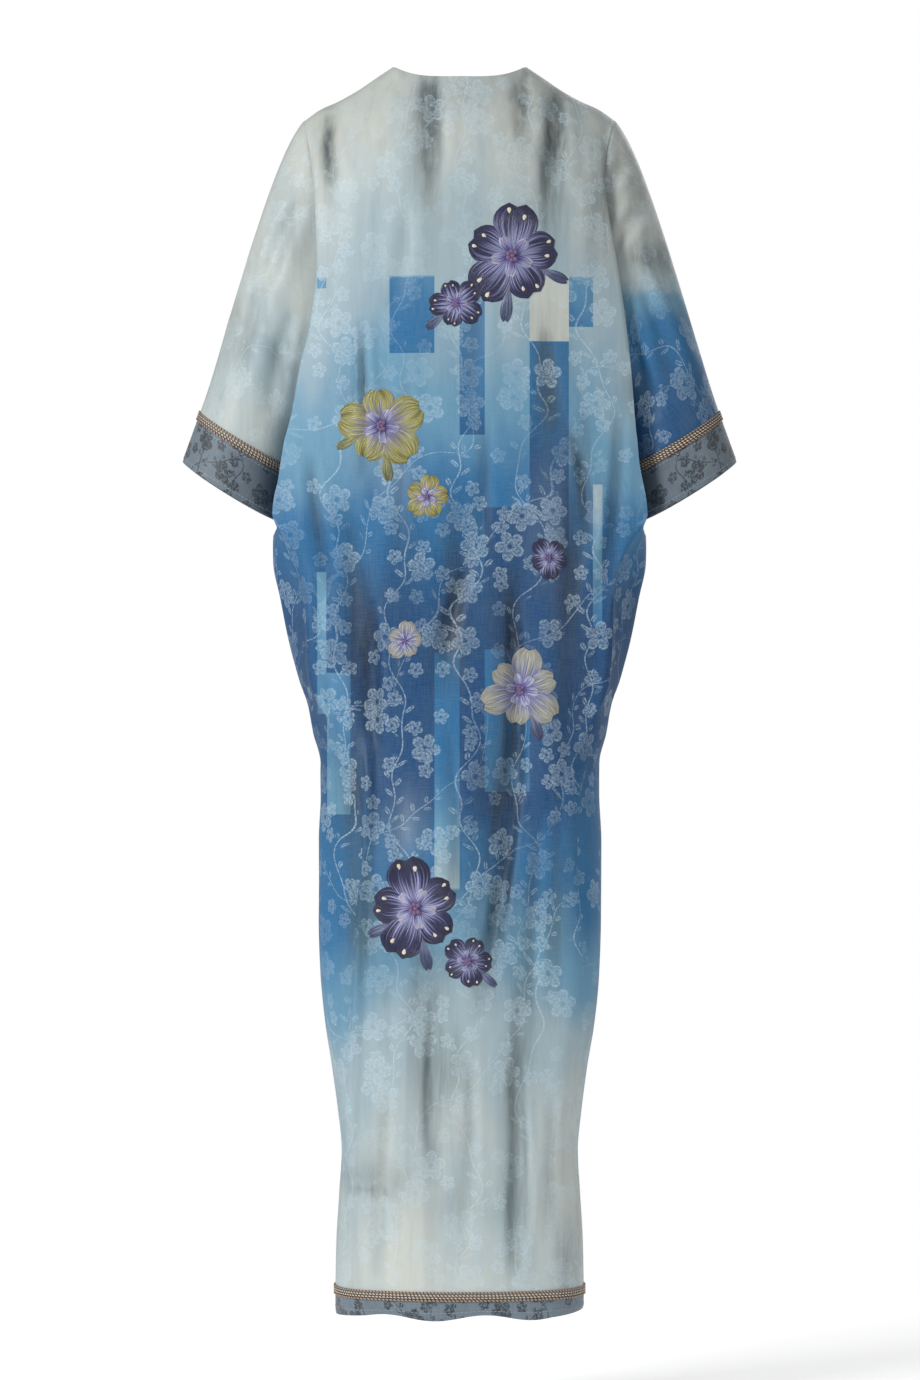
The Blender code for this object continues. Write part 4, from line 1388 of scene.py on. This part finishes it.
def petal(surface, x, drop, angle, length, wide, lift, base, material, name):
    """One satin-stitched petal or leaf, domed on the cloth, from its foot at x and drop."""
    rows, columns = PETAL_ROWS, PETAL_COLUMNS
    outer, inner = np.zeros((rows, columns, 3)), np.zeros((rows, columns, 3))
    places = np.zeros((rows, columns, 2))
    run = np.array((math.cos(angle), -math.sin(angle)))
    across = np.array((-run[1], run[0]))
    for row in range(rows):
        along = row / (rows - 1)
        half = wide / 2 * (0.12 + 0.88 * math.sin(math.pi * (0.04 + 0.93 * along) ** 1.5) ** 0.62)
        for column in range(columns):
            side = 2 * column / (columns - 1) - 1
            notch = 0.07 * length * along ** 4 * (1 - abs(side))
            spot = (np.array((x, drop)) + run * (length * (0.06 + along) - notch)
                    + across * side * half)
            place, normal = surface.at(*spot)
            dome = math.sqrt(max(1 - side * side, 0)) * math.sin(math.pi * (0.06 + 0.88 * along)) ** 0.5
            ridge = 0.16 if column % 2 else 0.0
            outer[row, column] = place + normal * (base + 0.25 + lift * dome + ridge * dome)
            inner[row, column] = place - normal * 0.25
            places[row, column] = (side * wide / 30 + x, along)
    turn = 1 if np.cross(outer[1, 0] - outer[0, 0], outer[0, 1] - outer[0, 0]) @ normal > 0 else -1
    return shell(name, outer, inner, False, turn, material, places)


def knot(surface, x, drop, radius, material, name):
    """A stitched knot: a small bead on the cloth."""
    place, normal = surface.at(x, drop)
    centre = Vector(place + normal * radius * 0.9) * MM
    bpy.ops.mesh.primitive_ico_sphere_add(subdivisions=2, radius=radius * MM, location=centre)
    bead = bpy.context.object
    bead.name = name
    bpy.ops.object.transform_apply(location=True, rotation=True, scale=True)
    bpy.ops.object.shade_smooth()
    bead.data.materials.append(material)
    return bead


def blossom(surface, row, threads):
    """Petals in two rounds, spots near the tips, and a heart of knots."""
    pieces = []
    spot_thread = threads["cream"]
    for number in range(row.petals):
        angle = math.radians(row.turn) + 2 * math.pi * number / row.petals
        length = row.radius * (1.0 + 0.10 * math.sin(3.1 * number + row.x))
        wide = length * 0.86 * 5 / row.petals
        pieces.append(petal(surface, row.x, row.drop, angle, length * 0.94, wide, 1.5, 0.0,
                            threads[row.thread], "petal"))
        if row.thread == "violet" and row.radius > LARGE_BLOSSOM:
            for turn, reach in ((-0.20, 0.70), (0.17, 0.80)):
                way = angle + turn
                pieces.append(petal(surface, row.x + math.cos(way) * length * reach,
                                    row.drop - math.sin(way) * length * reach, way,
                                    length * 0.11, length * 0.075, 0.9, 1.3, spot_thread, "spot"))
    for number in range(row.petals):
        angle = math.radians(row.turn) + 2 * math.pi * (number + 0.5) / row.petals
        pieces.append(petal(surface, row.x, row.drop, angle, row.radius * 0.42, row.radius * 0.24,
                            0.8, 1.4, threads["heart"], "inner petal"))
    count = 7 if row.radius > LARGE_BLOSSOM else 4
    for number in range(count):
        angle = 2 * math.pi * number / count
        reach = row.radius * 0.09 if number else 0.0
        pieces.append(knot(surface, row.x + math.cos(angle) * reach, row.drop + math.sin(angle) * reach,
                           row.radius * 0.045 + 0.6, threads["knot"], "knot"))
    return pieces


def out_of_cuff(rows, side):
    """Outward directions of rings round the arm, square to the arm's axis."""
    axis = cuff_axis(side)
    out = normals(rows, True, -side)
    return unit(out - (out @ axis)[..., None] * axis)


def amount(name, description, default, least, most, **more):
    return FloatProperty(name=name, description=description, default=default, min=least, max=most, **more)


def metres(name, description, default, least, most):
    return amount(name, description, default, least, most, unit="LENGTH")


def chart_colour(name, description, *chart):
    return FloatVectorProperty(name=name, description=description, default=paint(*chart)[:3],
                               subtype="COLOR", min=0, max=1)


class ClothSettings(bpy.types.PropertyGroup):
    """Sizes and colours of the silk and the bands."""

    wall: metres("Cloth wall", "Thickness of the shown cloth", 0.0008, 0.0003, 0.003)
    seam_dip: metres("Seam dip", "How far the cloth sinks at a seam", 0.0007, 0.0, 0.002)
    sheen: amount("Sheen", "Strength of the silk's sheen", 0.05, 0.0, 1.0, subtype="FACTOR")
    silver: chart_colour("Silver grey", "Palest colour of the wash", 188, 192, 185)
    pale_blue: chart_colour("Pale blue", "Middle colour of the wash", 96, 145, 174)
    deep_blue: chart_colour("Deep blue", "Deepest colour of the wash", 2, 66, 114)
    # The smoke colour paints the smoky stains and the painted shade in troughs of the silver cloth
    smoke: chart_colour("Smoke", "Colour of the smoky stains", 54, 68, 68)
    band: chart_colour("Band slate", "Ground colour of the bands", 72, 88, 102)


class TrimSettings(bpy.types.PropertyGroup):
    """Sizes and colours of the braid, the stitches and the embroidery."""

    cord_radius: metres("Cord radius", "Radius of a braid cord", 0.00128, 0.0005, 0.003)
    cord_twist: metres("Cord twist", "Length of one twist of a cord", 0.0042, 0.002, 0.02)
    cord_rows: IntProperty(name="Cord rows", description="Cords side by side in a braid",
                           default=4, min=1, max=8)
    stitch_length: metres("Stitch length", "Length of a topstitch", 0.0034, 0.001, 0.01)
    thread_width: metres("Thread width", "Width of a topstitch", 0.0008, 0.0002, 0.002)
    rose: chart_colour("Rose gold", "Colour of the outer cords", 176, 146, 124)


class StageSettings(bpy.types.PropertyGroup):
    """Floor and light."""

    floor_drop: metres("Floor drop", "Height of the floor below the neck", 1.62, 1.5, 3.0)
    floor_width: metres("Floor width", "Side of the square floor", 2.4, 1.0, 30.0)
    key_power: amount("Key light", "Power of the main light, in watts", 128.0, 0.0, 2000.0)
    backdrop_level: amount("Backdrop", "Brightness of the plain backdrop", 1.0, 0.0, 3.0)
    world_level: amount("Room light", "Strength of the even light", 0.34, 0.0, 3.0)


class KAFTAN_OT_body(bpy.types.Operator):
    """Back and front panels"""

    bl_idname = "kaftan.body"
    bl_label = "Body panels"

    def execute(self, context):
        settings = context.scene.kaftan_cloth
        for face, name in ((-1, "back"), (1, "front")):
            grid = panel_grid(face)
            material = silk_material(name + " silk", settings, True)
            tones = wash_tones(grid, face, body_blue(grid))
            turn = 1 if face < 0 else -1
            piece = cloth_piece("silk_" + name, grid, False, turn, material, tones, settings)
            finish(piece, [name], "silk_body")
        return {"FINISHED"}


class KAFTAN_OT_sleeves(bpy.types.Operator):
    """Both sleeves"""

    bl_idname = "kaftan.sleeves"
    bl_label = "Sleeves"

    def execute(self, context):
        settings = context.scene.kaftan_cloth
        for side, word in SIDE_WORDS.items():
            grid = sleeve_grid(side)
            blue = read(SLEEVE_WASH, word, -grid[..., 2])
            tones = wash_tones(grid, 0, blue)
            material = silk_material(word + " sleeve silk", settings, False)
            piece = cloth_piece("silk_sleeve_" + word, grid, True, -side, material, tones, settings)
            finish(piece, ["sleeve_" + word], "silk_sleeve")
        return {"FINISHED"}


class KAFTAN_OT_bands(bpy.types.Operator):
    """Cuff bands and hem band"""

    bl_idname = "kaftan.bands"
    bl_label = "Bands"

    def execute(self, context):
        settings = context.scene.kaftan_cloth
        for side, word in SIDE_WORDS.items():
            distances = np.linspace(BRAID_WIDTH / 2, CUFF_LENGTH, CUFF_ROWS)
            grid = np.array([cuff_ring(side, distance) for distance in distances])
            tones = {"shade": smooth((300 - np.abs(grid[..., 0])) / 90) * MOST_SHADE}
            material = band_material(word + " cuff jacquard", settings)
            piece = cloth_piece("band_cuff_" + word, grid, True, -side, material, tones, settings)
            finish(piece, ["cuff_" + word], "band_jacquard")
        rows = np.linspace(HEM_SEAM_DROP, HEM_END_DROP, HEM_ROWS)
        grid = hem_rings(panel_grid(-1), panel_grid(1), rows)
        tones = {"shade": np.zeros(grid.shape[:2])}
        piece = cloth_piece("band_hem", grid, True, 1, band_material("hem jacquard", settings),
                            tones, settings)
        finish(piece, ["hem_band"], "band_jacquard")
        return {"FINISHED"}


class KAFTAN_OT_braid(bpy.types.Operator):
    """Rows of twisted cord over the cuff and hem seams"""

    bl_idname = "kaftan.braid"
    bl_label = "Braid"

    def execute(self, context):
        trim = context.scene.kaftan_trim
        material = cord_material(trim)
        radius = trim.cord_radius / MM
        pitch = BRAID_WIDTH / trim.cord_rows
        places = [pitch * (number + 0.5) for number in range(trim.cord_rows)]
        for side, word in SIDE_WORDS.items():
            rows = np.array([cuff_ring(side, place) for place in places])
            out = out_of_cuff(rows, side)
            self.lay("braid_cuff_" + word, rows, out, radius, material, trim, "cuff_braid_" + word)
        back, front = panel_grid(-1), panel_grid(1)
        start = HEM_SEAM_DROP - BRAID_WIDTH / 2
        rows = hem_rings(back, front, [start + place for place in places])
        out = normals(rows, True, 1)
        out[..., 2] = 0
        self.lay("braid_hem", rows, unit(out), radius, material, trim, "hem_braid")
        return {"FINISHED"}

    def lay(self, name, rows, out, radius, material, trim, node):
        cords = []
        for number in range(len(rows)):
            path = rows[number] + out[number] * radius * 0.8
            light = 1.0 if 0 < number < len(rows) - 1 else 0.0
            twist = trim.cord_twist / MM * (1 + 0.04 * number)
            cords.append(cord_round(name, path, out[number], radius, twist, light, material))
        piece = join(name, cords)
        turned_out(piece)
        finish(piece, [node], "braid")


class KAFTAN_OT_stitches(bpy.types.Operator):
    """Topstitches on the bands"""

    bl_idname = "kaftan.stitches"
    bl_label = "Topstitches"

    def execute(self, context):
        trim = context.scene.kaftan_trim
        material = plain_thread("topstitch thread", paint(140, 150, 160))
        for side, word in SIDE_WORDS.items():
            distances = (BRAID_WIDTH + BRAID_STITCH_GAP, CUFF_LENGTH - EDGE_STITCH_GAP)
            rows = np.array([cuff_ring(side, distance) for distance in distances])
            out = out_of_cuff(rows, side)
            pieces = [stitch_row("stitch", rows[i], out[i], material, trim) for i in range(2)]
            finish(join("stitches_cuff_" + word, pieces), [], "braid")
        drop = HEM_END_DROP - HEM_STITCH_GAP
        rows = hem_rings(panel_grid(-1), panel_grid(1), (drop, drop + 0.1))
        out = normals(rows, True, 1)
        piece = join("stitches_hem", [stitch_row("stitch", rows[0], out[0], material, trim)])
        finish(piece, [], "braid")
        return {"FINISHED"}


class KAFTAN_OT_blossoms(bpy.types.Operator):
    """Embroidered blossoms and leaves"""

    bl_idname = "kaftan.blossoms"
    bl_label = "Embroidery"

    def execute(self, context):
        threads = {row.thread: thread_material(row.name, *(paint(*chart) for chart in row[2:]))
                   for row in THREADS}
        threads["cream"] = plain_thread("cream thread", paint(216, 206, 186))
        threads["knot"] = plain_thread("knot thread", paint(112, 86, 122))
        surface = Surface(bpy.data.objects["silk_back"], -1)
        pieces = []
        for row in BLOSSOMS:
            pieces += blossom(surface, row, threads)
        for row in LEAVES:
            pieces.append(petal(surface, row.x, row.drop, math.radians(row.turn), row.length,
                                row.wide * 1.6, 1.0, 0.0, threads[row.thread], "leaf"))
        piece = join("embroidery", pieces)
        turned_out(piece)
        finish(piece, [], None)
        return {"FINISHED"}


class KAFTAN_OT_stage(bpy.types.Operator):
    """Pale floor, soft light and the camera"""

    bl_idname = "kaftan.stage"
    bl_label = "Stage"

    def execute(self, context):
        settings = context.scene.kaftan_stage
        bpy.ops.object.select_all(action="DESELECT")
        bpy.ops.mesh.primitive_plane_add(size=settings.floor_width, location=(0, 0, -settings.floor_drop))
        floor = context.object
        floor.name = "floor"
        material, graph = new_material("pale floor")
        graph.coat({
            "Base Color": (0.90, 0.90, 0.90, 1),
            "Roughness": 0.9,
            "Emission Color": (1, 1, 1, 1),
            "Emission Strength": 0.42,
        })
        floor.data.materials.append(material)
        world = bpy.data.worlds.new("even light")
        world.use_nodes = True
        graph = Nodes(world.node_tree)
        sky = world.node_tree.nodes["Background"].inputs
        sky["Color"].default_value = (1, 1, 1, 1)
        seen = graph.place("ShaderNodeLightPath", (), "Is Camera Ray")
        brighter = settings.backdrop_level - settings.world_level
        graph.put(sky["Strength"], seen * brighter + settings.world_level)
        context.scene.world = world
        for row in LIGHTS:
            bpy.ops.object.light_add(type="AREA", location=row.place)
            light = context.object
            light.name = row.name
            light.data.size = row.size
            light.data.energy = settings.key_power * row.share
            aim = Vector(AIM) - Vector(row.place)
            light.rotation_euler = aim.to_track_quat("-Z", "Y").to_euler()
        context.scene.view_settings.view_transform = "Standard"
        self.camera(context)
        return {"FINISHED"}

    def camera(self, context):
        """Camera level with the middle of the dress, as far away as a long lens needs."""
        bpy.ops.object.camera_add(location=CAMERA_PLACE, rotation=(math.pi / 2, 0, 0))
        camera = context.object
        camera.name = "camera"
        camera.data.sensor_width = SENSOR_WIDTH
        camera.data.lens = SENSOR_WIDTH * -CAMERA_PLACE[1] / FRAME_HEIGHT
        context.scene.camera = camera


OPERATORS = (
    KAFTAN_OT_body,
    KAFTAN_OT_sleeves,
    KAFTAN_OT_bands,
    KAFTAN_OT_braid,
    KAFTAN_OT_stitches,
    KAFTAN_OT_blossoms,
    KAFTAN_OT_stage,
)


class KAFTAN_PT_panel(bpy.types.Panel):
    """Lists the kaftan's pieces and settings"""

    bl_idname = "KAFTAN_PT_panel"
    bl_label = "Silk kaftan"
    bl_space_type = "VIEW_3D"
    bl_region_type = "UI"
    bl_category = "Kaftan"

    def draw(self, context):
        layout = self.layout
        for operator in OPERATORS:
            layout.operator(operator.bl_idname)
        for group in (context.scene.kaftan_cloth, context.scene.kaftan_trim, context.scene.kaftan_stage):
            column = layout.column(align=True)
            for name in group.__annotations__:
                column.prop(group, name)


CLASSES = (ClothSettings, TrimSettings, StageSettings, *OPERATORS, KAFTAN_PT_panel)


def register():
    for item in CLASSES:
        bpy.utils.register_class(item)
    bpy.types.Scene.kaftan_cloth = PointerProperty(type=ClothSettings)
    bpy.types.Scene.kaftan_trim = PointerProperty(type=TrimSettings)
    bpy.types.Scene.kaftan_stage = PointerProperty(type=StageSettings)


def unregister():
    del bpy.types.Scene.kaftan_stage
    del bpy.types.Scene.kaftan_trim
    del bpy.types.Scene.kaftan_cloth
    for item in reversed(CLASSES):
        bpy.utils.unregister_class(item)


def main():
    register()
    bpy.ops.object.select_all(action="DESELECT")
    bpy.ops.kaftan.body()
    bpy.ops.kaftan.sleeves()
    bpy.ops.kaftan.bands()
    bpy.ops.kaftan.braid()
    bpy.ops.kaftan.stitches()
    bpy.ops.kaftan.blossoms()
    bpy.ops.kaftan.stage()


if __name__ == "__main__":
    main()
